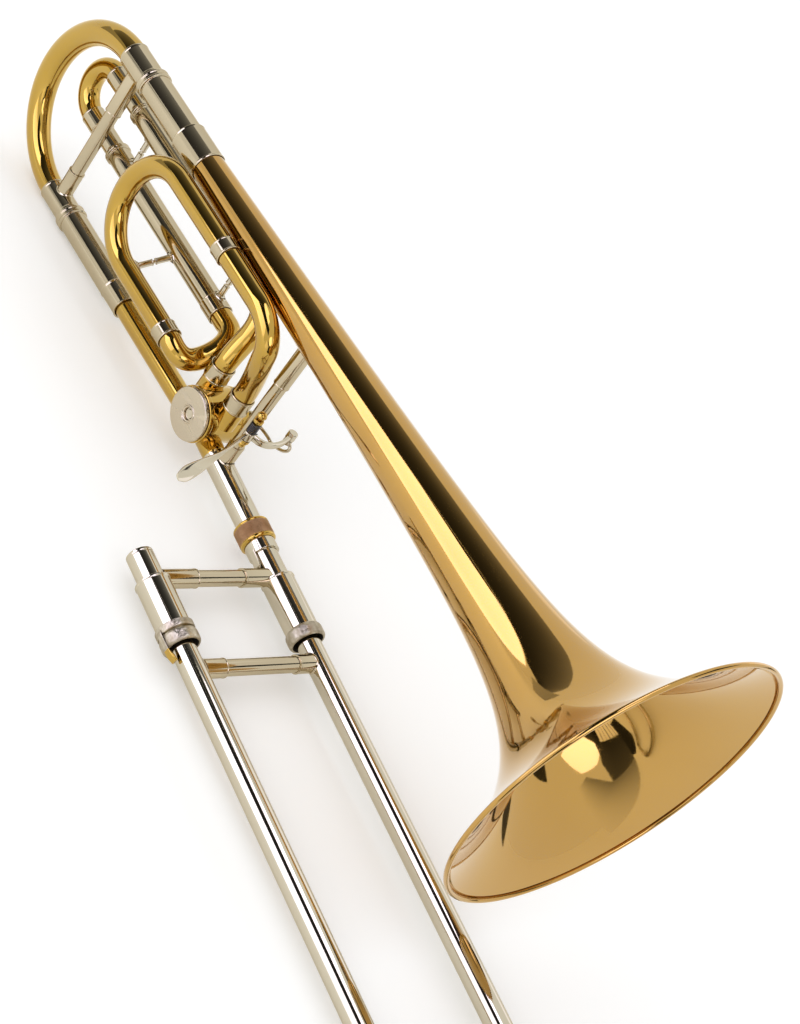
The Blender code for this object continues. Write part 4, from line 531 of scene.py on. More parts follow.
# %% Main tuning slide
CROOK_U = -597.0
upper_end = U * CROOK_U
lower_end = U * CROOK_U + LOWER
bend = half_turn(upper_end, lower_end, -U, 96)
way = [upper_end + U * 6.0, upper_end + U * 3.0] + bend + [lower_end + U * 3.0, lower_end + U * 6.0]
fit("tuning_crook", drawn(way, (9.25, 8.25), (8.75, 7.75), 64), brass)
for side, base, seat, leg in (("upper", upper_end, 9.55, 9.6), ("lower", lower_end, 8.55, 8.4)):
    body = max(seat, leg) + 0.75
    ferrule = [(0.0, body - 0.2), (0.5, body), (1.4, body), (2.0, body - 0.22), (24.0, body - 0.22),
               (24.8, body), (26.2, body), (26.2, leg - 0.5), (6.3, leg - 0.5), (6.3, seat), (0.0, seat)]
    fit("tuning_ferrule_" + side, turned(ferrule, base, U), nickel)
    fit("tuning_leg_" + side, turned(pipe(26.5, 86.2, leg, leg - 0.5), base, U), nickel)
print("crook bend", SPACING / 2, "mm in radius")

# %% [markdown]
# ## Braces
# A brace is a turned rod between two tubes, with a thicker sleeve at each end. Its foot is cut to a
# hollow saddle that sits on the tube, and a thin curved flange is soldered round it. The rod runs a
# little into the tube here, and the flange is a patch that follows the tube's round side.

# %% Helpers for braces
def saddle(host, host_way, radius, out, along, around, height=0.3):
    """The thin soldered rim round a brace's foot: a ring that follows the tube's round side."""
    host_way = host_way.normalized()
    out = (out - out.dot(host_way) * host_way).normalized()
    over = host_way.cross(out)
    points = 48
    rings = []
    for level, lift in ((1.0, 0.0), (0.98, height * 0.6), (0.93, height), (0.86, height + 0.25)):
        loop = []
        for index in range(points):
            angle = 2.0 * pi * index / points
            x, y = level * along * cos(angle), level * around * sin(angle)
            reach = radius + 0.02 + lift
            round_tube = out * cos(y / radius) + over * sin(y / radius)
            loop.append(host + host_way * x + round_tube * reach)
        rings.append(loop)
    return skin(rings, False, False)


def brace(node, start, end, radius, sleeve, lengths, hosts, feet=True):
    """A brace with sleeves; hosts gives for each end the tube's direction and radius."""
    axis = (end - start).normalized()
    length = (end - start).length
    first, second = hosts[0][1] - 1.0, length - hosts[1][1] + 1.0
    low, high = lengths[0], length - lengths[1]
    section = [(first, sleeve), (low - 1.3, sleeve), (low - 1.0, sleeve + 0.18), (low - 0.1, sleeve + 0.18),
               (low, radius), (high, radius), (high + 0.1, sleeve + 0.18), (high + 1.0, sleeve + 0.18),
               (high + 1.3, sleeve), (second, sleeve)]
    shapes = [turned(section, start, axis, 48, False, 0.12, axis.orthogonal())]
    if feet:
        for host, (way, size), out in ((start, hosts[0], axis), (end, hosts[1], -axis)):
            shapes.append(saddle(host, way, size, out, sleeve + 1.0, sleeve + 0.9))
    fit(node, joined(*shapes), nickel)


# %% Tuning slide brace
upper_foot = U * -586.0
brace("tuning_brace", upper_foot, upper_foot + LOWER, 4.9, 5.6, (40.6, 26.4), ((U, 10.1), (U, 9.05)))
print("tuning brace spans", SPACING, "mm")

# %% [markdown]
# ## The valve's casing
# The rotary valve sends the air either straight to the bell or round the long F loop first. Its
# casing is a short thick drum, with four knuckles brazed into its side for the four tubes. Each
# knuckle of the real horn has a small collar of braze at its foot, which the plain knuckles here leave out.

# %% Valve casing with its knuckles
SLIDE_START = Vector((-200.0, 128.5, -8.0))
SLIDE = Vector((1.0, 0.056, -0.050)).normalized()
ACROSS = (-W + W.dot(SLIDE) * SLIDE).normalized()
BELOW = ACROSS.cross(SLIDE).normalized()
PORT_V = 86.5
PORT = 13.3
REACH = 23.5


def on_slide(station, across=0.0, below=0.0):
    """A place on the hand slide: along its tubes, from the lower to the upper one, and below them."""
    return SLIDE_START + SLIDE * station + ACROSS * across + BELOW * below


slide_port = on_slide((VALVE.x + REACH - SLIDE_START.x) / SLIDE.x)
knuckles = ((Vector((VALVE.x - REACH, SPACING, 0.0)), U), (slide_port, -SLIDE),
            (Vector((VALVE.x - PORT, PORT_V, 0.0)), V), (Vector((VALVE.x + PORT, PORT_V, 0.0)), V))
drum = mirrored([(-15.5, 16.2), (-15.5, 18.0), (-15.0, 18.6), (-12.6, 18.6), (-12.2, 18.35)])
shapes = [turned(drum, VALVE, W, 96)]
knuckle = [(0.0, 7.9), (0.5, 8.0), (14.0, 8.0), (14.0, 6.6), (0.0, 6.6)]
for outside_end, inward in knuckles:
    shapes.append(turned(knuckle, outside_end, inward))
fit("valve_casing", joined(*shapes), brass)
print("casing 37.2 mm across, knuckles 16 mm")

# %% [markdown]
# ## Cap, bearing plate and stop arm
# A flat nickel cap closes the valve on the side that the photograph shows, with a raised ring and a
# dimple where the rotor's stem ends. A brass bearing plate closes the other side. The stop arm turns
# there between two rubber bumpers, and a screw holds it on the stem.

# %% Valve cap, plate and stop arm
cap = [(12.3, 15.7), (15.6, 15.7), (15.9, 17.3), (16.3, 17.8), (18.0, 17.8), (18.7, 17.1), (18.7, 6.4),
       (19.3, 6.1), (19.3, 5.4), (18.7, 5.1), (18.5, 4.2), (16.6, 4.0), (16.4, 3.1), (12.3, 3.1)]
fit("valve_cap", turned(cap, VALVE, -W, 96, True, 0.2), satin)
plate = [(12.3, 15.7), (15.5, 15.7), (15.8, 17.8), (18.0, 17.8), (18.0, 3.2), (12.3, 3.2)]
fit("bearing_plate", turned(plate, VALVE, W, 96), brass)
half = radians(45.0)
pin_way = Vector((sin(half), -cos(half), 0.0))
arm_mid = VALVE + W * 19.8
hub = turned(pipe(-1.5, 1.4, 5.5, 3.3), arm_mid, W, 40)
arm_side = pin_way.cross(W)
crank = forged([arm_mid + pin_way * share for share in (4.4, 7.2, 10.0)], (4.6, 4.0, 3.9), 2.4, arm_side)
tail = forged([arm_mid - pin_way * share for share in (4.4, 9.5, 15.4)], (4.6, 4.0, 3.8), 2.4, arm_side)
crank_pin = turned([(-1.3, 1.5), (4.4, 1.5)], arm_mid + pin_way * 10.0, W, 24, False)
fit("stop_arm", joined(hub, crank, tail, crank_pin), nickel)
BUMPERS = 13.5
stop_angle = half + asin(4.5 / BUMPERS)
for side, sign in (("front", 1.0), ("rear", -1.0)):
    foot = VALVE + Vector((sign * sin(stop_angle), cos(stop_angle), 0.0)) * BUMPERS + W * 18.3
    fit("stop_bumper_" + side, turned([(0.0, 2.2), (5.8, 2.2)], foot, W, 32, False, 0.5), rubber)
screw = [(0.0, 4.2), (1.5, 4.2), (2.3, 2.9), (2.4, 0.9), (1.7, 0.8)]
fit("stop_screw", turned(screw, VALVE + W * 21.6, W, 32, False, 0.3), steel)
rotor_finish = frame["nodes"]["rotor"].data.materials
rotor_finish.clear()
rotor_finish.append(bright)
print("stop arm turns between its bumpers")

# %% [markdown]
# ## The F loop
# Pressing the trigger adds this loop, which lowers the horn by a fourth. One tube leaves the valve's
# front port, runs beside the bell and bends back as a wide bow on the near side. A U bow then takes
# it under the bell to the far side, where two nickel legs hold a small tuning slide of its own.

# %% Branches and bows of the F loop
PIPE = 7.6
BORE = 7.1
SEAM = 0.3
LEG_SEAM = 5.7
IN_KNUCKLE = 1.6
PORT_RUN = 12.5
NEAR_W = -19.58
FAR_W = 17.8
NEAR_RIGHT = 10.0
NEAR_LEFT = 85.5
FAR_RIGHT = 33.4
FAR_LEFT = 69.4
MIDDLE = Vector((-422.0, NEAR_RIGHT, NEAR_W))
NEAR_SLEEVE = Vector((-424.5, NEAR_LEFT, NEAR_W))
front_port = Vector((VALVE.x + PORT, PORT_V, 0.0))
rear_port = Vector((VALVE.x - PORT, PORT_V, 0.0))
beside_bell = Vector((-352.5, 30.0, -17.0))
bend_way = Vector((0.02, -1.0, -0.25)).normalized()
clear_of_bell = bell_radius(380.0) + PIPE + 0.7
top_of_rise = Vector((-380.0, 10.0, -sqrt(clear_of_bell ** 2 - 10.0 ** 2)))

way = straight(front_port - V * IN_KNUCKLE, front_port - V * PORT_RUN)
way += flowing(front_port - V * PORT_RUN, V * -14.0, beside_bell, bend_way * 14.0, 24)[:-1]
way += flowing(beside_bell, bend_way * 12.0, top_of_rise, -U * 15.0, 40)[:-1]
way += flowing(top_of_rise, -U * 8.0, MIDDLE + U * 12.0, -U * 8.0, 12)[:-1]
way += straight(MIDDLE + U * 12.0, MIDDLE + U * SEAM, whole=True)
fit("f_branch_front", drawn(way, PIPE, BORE), brass)

BOW_U = -485.5
right_end = Vector((BOW_U, NEAR_RIGHT, NEAR_W))
left_end = Vector((BOW_U, NEAR_LEFT, NEAR_W))
stretch = 2.0 * 35.0 / (NEAR_LEFT - NEAR_RIGHT)
way = straight(MIDDLE - U * SEAM, right_end) + half_turn(right_end, left_end, -U, 80, stretch)
way += straight(left_end, NEAR_SLEEVE - U * SEAM, whole=True)[1:]
fit("f_bow", drawn(way, PIPE, BORE, 56), brass)

u_start = Vector((-418.0, NEAR_LEFT, NEAR_W))
u_middle = Vector((-403.8, 84.0, 0.5))
u_way = Vector((0.05, -0.62, 0.78)).normalized()
u_end = Vector((-418.0, FAR_LEFT, FAR_W))
far_left = Vector((-426.5, FAR_LEFT, FAR_W))
way = straight(NEAR_SLEEVE + U * SEAM, u_start)
way += flowing(u_start, Vector((14.0, 3.0, 0.0)), u_middle, u_way * 12.0, 32)[:-1]
way += flowing(u_middle, u_way * 10.0, u_end, -U * 12.0, 32)[:-1]
way += straight(u_end, far_left - U * LEG_SEAM, whole=True)
fit("f_u_bow", drawn(way, PIPE, BORE), brass)

rear_bend = Vector((-389.5, 52.5, 7.0))
rear_way = Vector((-0.08, -1.0, 0.30)).normalized()
rear_top = Vector((-418.0, FAR_RIGHT, FAR_W))
far_right = Vector((-440.5, FAR_RIGHT, FAR_W))
way = straight(rear_port - V * IN_KNUCKLE, rear_port - V * PORT_RUN)
way += flowing(rear_port - V * PORT_RUN, V * -6.0, rear_bend, rear_way * 6.0, 16)[:-1]
way += flowing(rear_bend, rear_way * 14.0, rear_top, -U * 18.0, 36)[:-1]
way += straight(rear_top, far_right - U * LEG_SEAM, whole=True)
fit("f_branch_rear", drawn(way, PIPE, BORE), brass)
print("F loop tube", 2 * PIPE, "mm")

# %% [markdown]
# ## Ferrules and legs of the F loop
# A ferrule is a short sleeve over a joint. Each is turned with a tiny bead at both ends, which hides
# the solder line and catches the light.

# %% Ferrules and legs of the F loop
def ferrule(node, middle, axis, length, seat=7.95, wall=0.75):
    """A sleeve with a small bead at each end."""
    top = seat + wall
    low = -length / 2
    section = mirrored([(low, seat), (low, top - 0.25), (low + 0.35, top), (low + 0.9, top),
                        (low + 1.3, top - 0.2)])
    fit(node, turned(section, middle, axis, 56, True, 0.12), nickel)


ferrule("f_ferrule_front", front_port - V * 6.05, -V, 11.5)
ferrule("f_ferrule_rear", rear_port - V * 6.05, -V, 11.5)
ferrule("f_ferrule_middle", MIDDLE, U, 10.0)
ferrule("f_ferrule_near", NEAR_SLEEVE, U, 10.0)
F_RING = -581.5
for side, v, end in (("left", FAR_LEFT, far_left.x), ("right", FAR_RIGHT, far_right.x)):
    neck = end - 13.5
    section = socket_ring(F_RING, 8.1, 0.9, 3.9) + [
        (neck, 8.1), (neck + 0.4, 8.7), (neck + 1.2, 8.6), (end - 1.2, 8.6), (end - 0.4, 8.75), (end, 8.3),
        (end, 7.9), (end - 6.0, 7.9), (end - 6.0, 7.5), (F_RING, 7.5)]
    fit("f_leg_" + side, turned(section, Vector((0.0, v, FAR_W)), U), nickel)
print("F slide legs", FAR_LEFT - FAR_RIGHT, "mm apart")

# %% [markdown]
# ## The F tuning slide
# A small copy of the main tuning slide, without a brace because its legs are close together.

# %% F tuning slide
F_CROOK = -618.5
right = Vector((F_CROOK, FAR_RIGHT, FAR_W))
left_leg = Vector((F_CROOK, FAR_LEFT, FAR_W))
way = straight(right + U * 6.0, right, 2.0) + half_turn(right, left_leg, -U, 64)
way += straight(left_leg, left_leg + U * 6.0, 2.0, True)[1:]
fit("f_crook", drawn(way, PIPE, BORE, 56), brass)
section = [(0.0, 8.15), (0.4, 8.35), (1.2, 8.35), (1.6, 8.2), (14.2, 8.2), (14.6, 8.35), (15.2, 8.35),
           (15.5, 7.2), (82.0, 7.2), (82.0, 6.7), (6.3, 6.7), (6.3, 7.9), (0.0, 7.9)]
for side, base in (("right", right), ("left", left_leg)):
    fit("f_inner_leg_" + side, turned(section, base, U, 56, True, 0.15), nickel)
print("F crook bend", (FAR_LEFT - FAR_RIGHT) / 2, "mm in radius")

# %% [markdown]
# ## Small stays
# Three two-part stays steady the loop. Each half is a tiny turned sleeve on its own foot, and a thin
# waist joins the halves, so that the two tubes can be lined up before the solder goes in.

# %% Stays
def stay(node, start, end, radii):
    """A two-part stay between two parallel tubes."""
    axis = (end - start).normalized()
    length = (end - start).length
    first, second = radii[0], length - radii[1]
    middle = (first + second) / 2
    section = mirrored([(first - 0.8, 3.2), (first + 0.7, 3.2), (first + 1.1, 2.2), (middle - 1.9, 2.1),
                        (middle - 1.7, 2.3), (middle - 1.2, 2.3), (middle - 1.0, 1.2)], middle)
    shapes = [turned(section, start, axis, 32, False, 0.1, axis.orthogonal())]
    for host, radius, out in ((start, radii[0], axis), (end, radii[1], -axis)):
        shapes.append(saddle(host, U, radius, out, 5.2, 3.7, 0.35))
    fit(node, joined(*shapes), bright)


def pair(u, start, end):
    """Two places at one u."""
    return Vector((u, start[0], start[1])), Vector((u, end[0], end[1]))


near, left_far, right_far = (NEAR_LEFT, NEAR_W), (FAR_LEFT, FAR_W), (FAR_RIGHT, FAR_W)
stay("stay_near", *pair(-483.0, near, left_far), (PIPE, 8.1))
stay("stay_legs", *pair(-562.0, left_far, right_far), (8.1, 8.1))
stay("stay_front", *pair(-436.5, left_far, right_far), (8.6, PIPE))
print("3 stays")

# %% [markdown]
# ## Neckpipe, lock nut and bell brace
# The neckpipe carries the slide's air to the valve. Its end is threaded, and a knurled brass nut
# draws the hand slide up tight on it. The knurl is a real pattern of crossed teeth, pressed in with
# two rollers: here each point of a fine grid stands high or low in turn, and the faces between them
# are creased into small pyramids.

# %% Neckpipe, lock nut and bell brace
NECK_END = -86.0
start = (slide_port - SLIDE_START).dot(SLIDE) + 0.3
fit("neckpipe", turned(pipe(start, NECK_END, 8.7, 7.3), SLIDE_START, SLIDE), bright)
NUT = (-94.0, -79.0)
TEETH = 96
TOOTH_DEPTH = 0.027
TOOTH_ROWS = 18
rim = ((0.0, 8.9), (0.0, 10.4), (0.3, 11.1), (0.9, 11.7), (1.6, 11.9), (2.1, 11.7), (2.3, 11.4))
rows = [ring(on_slide(NUT[0] + along), SLIDE, radius, TEETH, ACROSS) for along, radius in rim]
for step in range(TOOTH_ROWS + 1):
    station = NUT[0] + 2.5 + step * (NUT[1] - NUT[0] - 5.0) / TOOTH_ROWS
    points = ring(on_slide(station), SLIDE, 11.95, TEETH, ACROSS)
    centre = on_slide(station)
    rows.append([centre + (point - centre) * (1.0 - TOOTH_DEPTH * ((index + step) % 2))
                 for index, point in enumerate(points)])
rows += [ring(on_slide(NUT[1] - along), SLIDE, radius, TEETH, ACROSS) for along, radius in rim[::-1]]


def from_axis(point):
    """Distance of a point from the slide's axis."""
    along = point - SLIDE_START
    return (along - SLIDE * along.dot(SLIDE)).length


def on_band(point):
    """On the nut's knurled band."""
    return NUT[0] + 2.45 < (point - SLIDE_START).dot(SLIDE) < NUT[1] - 2.45 and from_axis(point) > 11.0


nut_mesh = skin(rows, True)
for face in [face for face in nut_mesh.faces if on_band(face.calc_center_median())]:
    bmesh.utils.face_split(face, *sorted(face.verts, key=lambda corner: from_axis(corner.co))[:2])
for edge in nut_mesh.edges:
    edge.smooth = not on_band((edge.verts[0].co + edge.verts[1].co) / 2.0)
fit("lock_nut", nut_mesh, brass, ((copper_tan, on_band),))
BRACE_U = -341.0
neck = on_slide((BRACE_U - SLIDE_START.x) / SLIDE.x)
hosts = ((SLIDE, 8.7), (U, bell_radius(-BRACE_U)))
brace("bell_brace", neck, U * BRACE_U, 4.7, 5.4, (21.5, 44.5), hosts)
print("lock nut", TEETH, "teeth round")

# %% [markdown]
# ## The fixed half of the hand slide
# The left hand holds this half. Two long thin stockings carry the moving half, and cork inside the
# two barrels stops it softly. The upper barrel's tail is the mouthpiece receiver. The lower one is
# held by the neck tenon, which has a small bent tab.

# %% Barrels, receiver, stockings and hand brace
SLIDE_GAP = 98.0
BARREL = (-51.0, -12.5)
COLLAR_END = -3.5


def on_collar(point):
    """On the worn outer side of a barrel's collar."""
    along = (point - SLIDE_START).dot(SLIDE)
    return along > BARREL[1] and not in_cork(point)


def in_cork(point):
    """On the lining that shows round the slide tube."""
    along = point - SLIDE_START
    middle = SLIDE_GAP if along.dot(ACROSS) > SLIDE_GAP / 2 else 0.0
    from_middle = (along - ACROSS * middle - SLIDE * along.dot(SLIDE)).length
    return from_middle < 10.15 and along.dot(SLIDE) < COLLAR_END + 0.2


for side, across in (("lower", 0.0), ("upper", SLIDE_GAP)):
    base = on_slide(0.0, across)
    low, step = BARREL
    section = [(low, 10.5), (low + 0.3, 11.2), (low + 1.5, 11.2), (low + 1.9, 10.75), (step, 10.75),
               (step + 0.5, 11.5), (step + 1.9, 12.05), (step + 5.0, 12.1), (COLLAR_END - 1.5, 12.05),
               (COLLAR_END - 0.3, 11.4), (COLLAR_END, 10.6), (COLLAR_END - 0.2, 10.1),
               (COLLAR_END - 0.8, 9.95), (low + 6.0, 9.95), (low + 6.0, 7.2), (low, 7.2)]
    fit("cork_barrel_" + side, turned(section, base, SLIDE, 72, True, 0.5), bright,
        ((worn_nickel, on_collar), (cork, in_cork)))
    fit("inner_tube_" + side, turned(pipe(low + 0.3, 598.0, 6.9, 6.4), base, SLIDE), bright)

base = SLIDE_START
section = [(-108.0, 6.7), (-85.7, 7.0), (-85.7, 8.6), (-78.7, 8.6), (-78.7, 10.2), (-71.0, 10.2),
           (-71.0, 8.6), (-51.3, 8.6), (-51.3, 6.4), (-108.0, 6.2)]
tab_way = [on_slide(-73.0, 9.7), on_slide(-67.5, 9.7), on_slide(-61.5, 10.6), on_slide(-58.8, 13.2)]
tab = forged(tab_way, (6.6, 6.2, 6.6, 7.4), 1.5, BELOW)
fit("neck_tenon", joined(turned(section, base, SLIDE), tab), bright)
section = [(-72.0, 7.9), (-71.5, 8.5), (-70.2, 8.6), (-69.6, 8.4), (-69.0, 8.6), (-51.3, 8.6),
           (-51.3, 6.0), (-71.0, 6.35), (-72.0, 6.8)]
base = on_slide(0.0, SLIDE_GAP)
fit("mouthpiece_receiver", turned(section, base, SLIDE), bright)
fit("leadpipe", turned(pipe(-50.7, 169.0, 6.0, 5.5), base, SLIDE, 32), nickel)
ends = (on_slide(-53.5), on_slide(-53.5, SLIDE_GAP))
brace("hand_brace", *ends, 5.2, 6.0, (28.6, 33.6), ((SLIDE, 8.6), (SLIDE, 8.6)), False)
print("slide tubes", SLIDE_GAP, "mm apart")

# %% [markdown]
# ## The moving half of the hand slide
# Two thin outer tubes run on the stockings, joined by a brace near the hand and by the bow at the
# far end. A guard and a rubber tip meet the floor. The water key on the bow lets the water out.

# %% Outer tubes, brace and bow
OUTER = 7.75
TUBE_END = 603.0
sleeve = TUBE_END - 28.0
section = [(-9.5, 7.6), (-9.1, OUTER), (sleeve, OUTER), (sleeve, 8.75), (sleeve + 0.8, 8.8),
           (sleeve + 1.4, 8.6), (TUBE_END, 8.6), (TUBE_END + 0.7, 8.8), (TUBE_END + 1.5, 8.6),
           (TUBE_END + 1.5, 8.05), (TUBE_END - 0.3, 8.05), (TUBE_END - 0.3, 7.35), (-9.5, 7.35)]
for side, across in (("lower", 0.0), ("upper", SLIDE_GAP)):
    fit("outer_tube_" + side, turned(section, on_slide(0.0, across), SLIDE), bright)
ends = (on_slide(11.5), on_slide(11.5, SLIDE_GAP))
brace("outer_brace", *ends, 5.2, 6.0, (19.25, 22.75), ((SLIDE, OUTER), (SLIDE, OUTER)))

BOW = TUBE_END + 3.0
bow_middle = on_slide(BOW, SLIDE_GAP / 2)
lower, upper = on_slide(TUBE_END), on_slide(TUBE_END, SLIDE_GAP)
way = [lower] + half_turn(on_slide(BOW), on_slide(BOW, SLIDE_GAP), SLIDE, 80) + [upper]
shapes = [drawn(way, OUTER, 7.35, 56, BELOW)]
nipple_angle = radians(-38.0)
nipple_way = cos(nipple_angle) * SLIDE + sin(nipple_angle) * ACROSS
inner_wall = SLIDE_GAP / 2 - OUTER
nipple_foot = bow_middle + nipple_way * (inner_wall + 1.0)
nipple = [(0.0, 3.8), (4.6, 3.8), (5.2, 3.3), (5.2, 1.9), (0.0, 1.9)]
shapes.append(turned(nipple, nipple_foot, -nipple_way, 32))
pivot = on_slide(TUBE_END + 12.0, 18.0)
for sign in (-1.0, 1.0):
    side = BELOW * sign * 4.7
    foot = on_slide(TUBE_END + 12.0, OUTER * 0.62) + side
    post = [foot, (foot + pivot + side) / 2, pivot + ACROSS * 2.4 + side]
    shapes.append(forged(post, (1.8, 1.8, 1.8), (6.4, 5.4, 4.8), BELOW))
fit("slide_bow", joined(*shapes), bright)
front = bow_middle + SLIDE * (SLIDE_GAP / 2 + OUTER)
guard = [(-2.0, 4.6), (0.6, 5.0), (5.2, 5.0), (6.0, 4.6)]
fit("bow_guard", turned(guard, front, SLIDE, 40, False), bright)
tip = [(6.3, 5.1), (7.5, 6.0), (10.5, 6.0), (12.0, 4.8)]
fit("rubber_tip", turned(tip, front, SLIDE, 40, False, 0.8), rubber)
print("slide bow", SLIDE_GAP / 2, "mm in radius")

# %% Water key
nipple_face = bow_middle + nipple_way * (inner_wall - 4.2)
pad_face = nipple_face - nipple_way * 0.3
pad_back = pad_face - nipple_way * 3.0
hub = turned(pipe(-3.5, 3.5, 2.7, 1.4), pivot, BELOW, 32)
arm_end = pad_back - nipple_way * 0.4
arm_way = [pivot + (arm_end - pivot).normalized() * 2.0, (pivot + arm_end) / 2, arm_end]
arm = forged(arm_way, (5.0, 5.4, 6.0), 1.8, BELOW)
cup = turned([(0.0, 4.3), (0.5, 4.6), (2.8, 4.6), (3.6, 3.6)], pad_face, -nipple_way, 36, False)
tail = forged([pivot - SLIDE * 2.0, pivot - SLIDE * 17.0 + ACROSS * 1.8, pivot - SLIDE * 25.5 + ACROSS * 4.6,
               pivot - SLIDE * 34.0 + ACROSS * 5.2], (4.8, 5.0, 8.8, 7.0), 1.6, BELOW)
fit("water_key", joined(hub, arm, cup, tail), bright)
fit("water_key_pin", turned([(-6.2, 1.0), (6.2, 1.0)], pivot, BELOW, 24, False), steel, slot="nickel_silver")
print("water key on its pin")

# %% [markdown]
# ## The trigger
# A thumb lever turns on a hinge rod beside the bell brace. Its long arm reaches over to a link, and
# the link turns the rotor by a quarter. The lever is one bright casting, with a dished oval plate
# for the thumb.

# %% Trigger bracket and hinge rod
HINGE = Vector((-329.0, 0.0, -13.5))
lugs = (64.2, 81.8)
towards = (U * BRACE_U - HINGE).normalized()
spine = 5.0


def beside_hinge(v, reaches):
    """Places beside the hinge, towards the bell brace."""
    return [HINGE + V * v + towards * reach for reach in reaches]


plate = [HINGE + V * v + towards * spine for v in (62.8, 73.0, 83.2)]
shapes = [forged(plate, (5.6, 5.6, 5.6), 2.1, towards.cross(V))]
for v in lugs:
    shapes.append(turned(eyelet(1.1, 3.4, 1.95), HINGE + V * v, V, 36))
    shapes.append(forged(beside_hinge(v, (2.6, 4.0, 5.4)), (1.9, 1.9, 1.9), 3.9, V))
shapes.append(forged(beside_hinge(73.0, (5.0, 8.5, 12.6)), (10.0, 11.5, 13.0), 5.0, V))
fit("trigger_bracket", joined(*shapes), brass)
ball = 3.4
top, low = lugs[0] - 1.4, lugs[1] + 1.4
above = ((1.75, 0.6), (1.6, 2.0), (1.35, 2.75), (0.9, ball), (0.45, 2.75), (0.2, 2.1), (0.0, 1.9), (0.0, 1.6))
under = ((0.0, 1.6), (0.0, 1.7), (0.3, 2.3), (0.75, 2.4), (1.15, 1.7), (1.3, 0.6))
beads = [(top - share * ball, radius) for share, radius in above]
beads += [(low + share * ball, radius) for share, radius in under]
fit("hinge_rod", turned(beads, HINGE, V, 36, False, 0.4, W), brass)
print("hinge rod", round(low - top, 1), "mm between its balls")

# %% Trigger lever
hub_at = HINGE + V * 77.1
EYE = Vector((-330.5, 80.0, 26.0))
shapes = [turned(eyelet(3.0, 3.6, 1.75, 0.4), hub_at, V, 40)]
shares = (0.035, 0.16, 0.30, 0.42, 0.58, 0.76, 0.91, 1.0)
widths = (4.4, 4.2, 4.1, 5.4, 8.0, 10.2, 9.9, 5.0)
way = [hub_at + Vector((30.0 * t ** 1.25 + 4.0 * sin(pi * t), 4.0 * t, -72.0 * t)) for t in shares]
twists = [radians(48.0) * max(0.0, t - 0.3) / 0.7 for t in shares]
shapes.append(forged(way, widths, (2.4, 2.1, 1.9, 1.9, 1.8, 1.8, 1.7, 1.3), V, 8, 0.8, 36, twists))
arm_start = hub_at + Vector((1.8, 0.0, 2.6))
arm_end = EYE + Vector((1.2, 0.0, -2.2))
way = flowing(arm_start, Vector((9.0, 2.0, 7.0)), arm_end, Vector((-8.0, 0.0, 13.0)), 6)
shapes.append(forged(way, [5.2 * (1.0 - 0.04 * index) for index in range(7)], 3.0, V))
shapes.append(turned([(-3.4, 2.9), (-3.0, 3.4), (1.9, 3.4), (2.2, 3.0)], EYE, V, 36, False))
shapes.append(turned([(-1.2, 1.5), (6.6, 1.5), (7.0, 1.1)], EYE, V, 24, False))
fit("trigger_lever", joined(*shapes), bright)
print("lever reaches 72 mm to the thumb's end")

# %% [markdown]
# ## Return spring and link
# The spring is wound from one blued wire round the hinge rod. It is a tube along a helix, a real
# winding and not a ribbed sleeve, and its two ends stand off straight.

# %% Return spring and link rod
turns, per_turn = 6, 28
WIRE = 0.45
COIL = 3.0
PITCH = 1.16
SPRING_START = 66.3
coil = []
for index in range(turns * per_turn + 1):
    turned_by = index / per_turn
    angle = 2.0 * pi * turned_by
    rim_place = Vector((COIL * cos(angle), 0.0, COIL * sin(angle)))
    coil.append(HINGE + V * (SPRING_START + PITCH * turned_by) + rim_place)
tail = W * 3.0
coil = straight(coil[0] - tail, coil[0], 1.0) + coil
coil += straight(coil[-1], coil[-1] + tail, 1.0, True)[1:]
fit("trigger_spring", drawn(coil, WIRE, None, 12, U), steel)

ring_at = EYE + V * 4.5
pin_end = VALVE + pin_way * 10.0 + W * 24.6
bow_low = (ring_at + pin_end + W * 1.2) / 2.0 + Vector((8.0, 5.0, 0.0))
far = pin_end + W * 1.2
way = flowing(ring_at + U * 2.4, Vector((6.0, 2.0, 0.0)), bow_low, Vector((-14.0, 3.5, 0.0)), 32)
way += flowing(bow_low, Vector((-6.0, -1.5, 0.0)), far, Vector((-8.0, 1.0, 0.0)), 20)[1:]
shapes = [turned(eyelet(1.7, 3.1, 1.65), ring_at, V, 36)]
shapes.append(drawn(way, 1.2, None, 20))
shapes.append(turned([(0.0, 2.6), (0.3, 2.8), (2.4, 2.8), (2.8, 2.4)], pin_end, W, 32, False))
fit("link_rod", joined(*shapes), bright)
print("spring:", turns, "turns")

# %% [markdown]
# ## The slide lock
# A ring with a brass hook turns on the upper barrel. With the hook over the moving brace's sleeve,
# the slide can't run out when the horn is carried.

# %% Slide lock
lock_bore = 11.1
base = on_slide(0.0, SLIDE_GAP)
section = mirrored([(-2.3, 10.9), (-2.3, lock_bore + 0.6), (-2.0, lock_bore + 0.9)])
section = [(BARREL[1] - 2.9 + along, radius) for along, radius in section]
shapes = [turned(section, base, SLIDE, 64)]
stations = (BARREL[1] - 3.0, BARREL[1] - 1.0, COLLAR_END, COLLAR_END + 5.0, COLLAR_END + 9.1)
rise = (lock_bore + 0.3, 12.6, 12.6, 11.3, 10.1)
way = [on_slide(station, SLIDE_GAP) + ACROSS * height for station, height in zip(stations, rise)]
shapes.append(forged(way, (4.0, 4.2, 4.4, 5.4, 4.6), (0.9, 0.9, 0.9, 2.4, 2.2), SLIDE.cross(ACROSS)))


def on_lock_ring(point):
    """On the lock's ring and strap, as against its hook."""
    return (point - SLIDE_START).dot(SLIDE) < COLLAR_END + 0.6


fit("slide_lock", joined(*shapes), brass, ((worn_nickel, on_lock_ring),))
print("slide lock on the upper barrel")

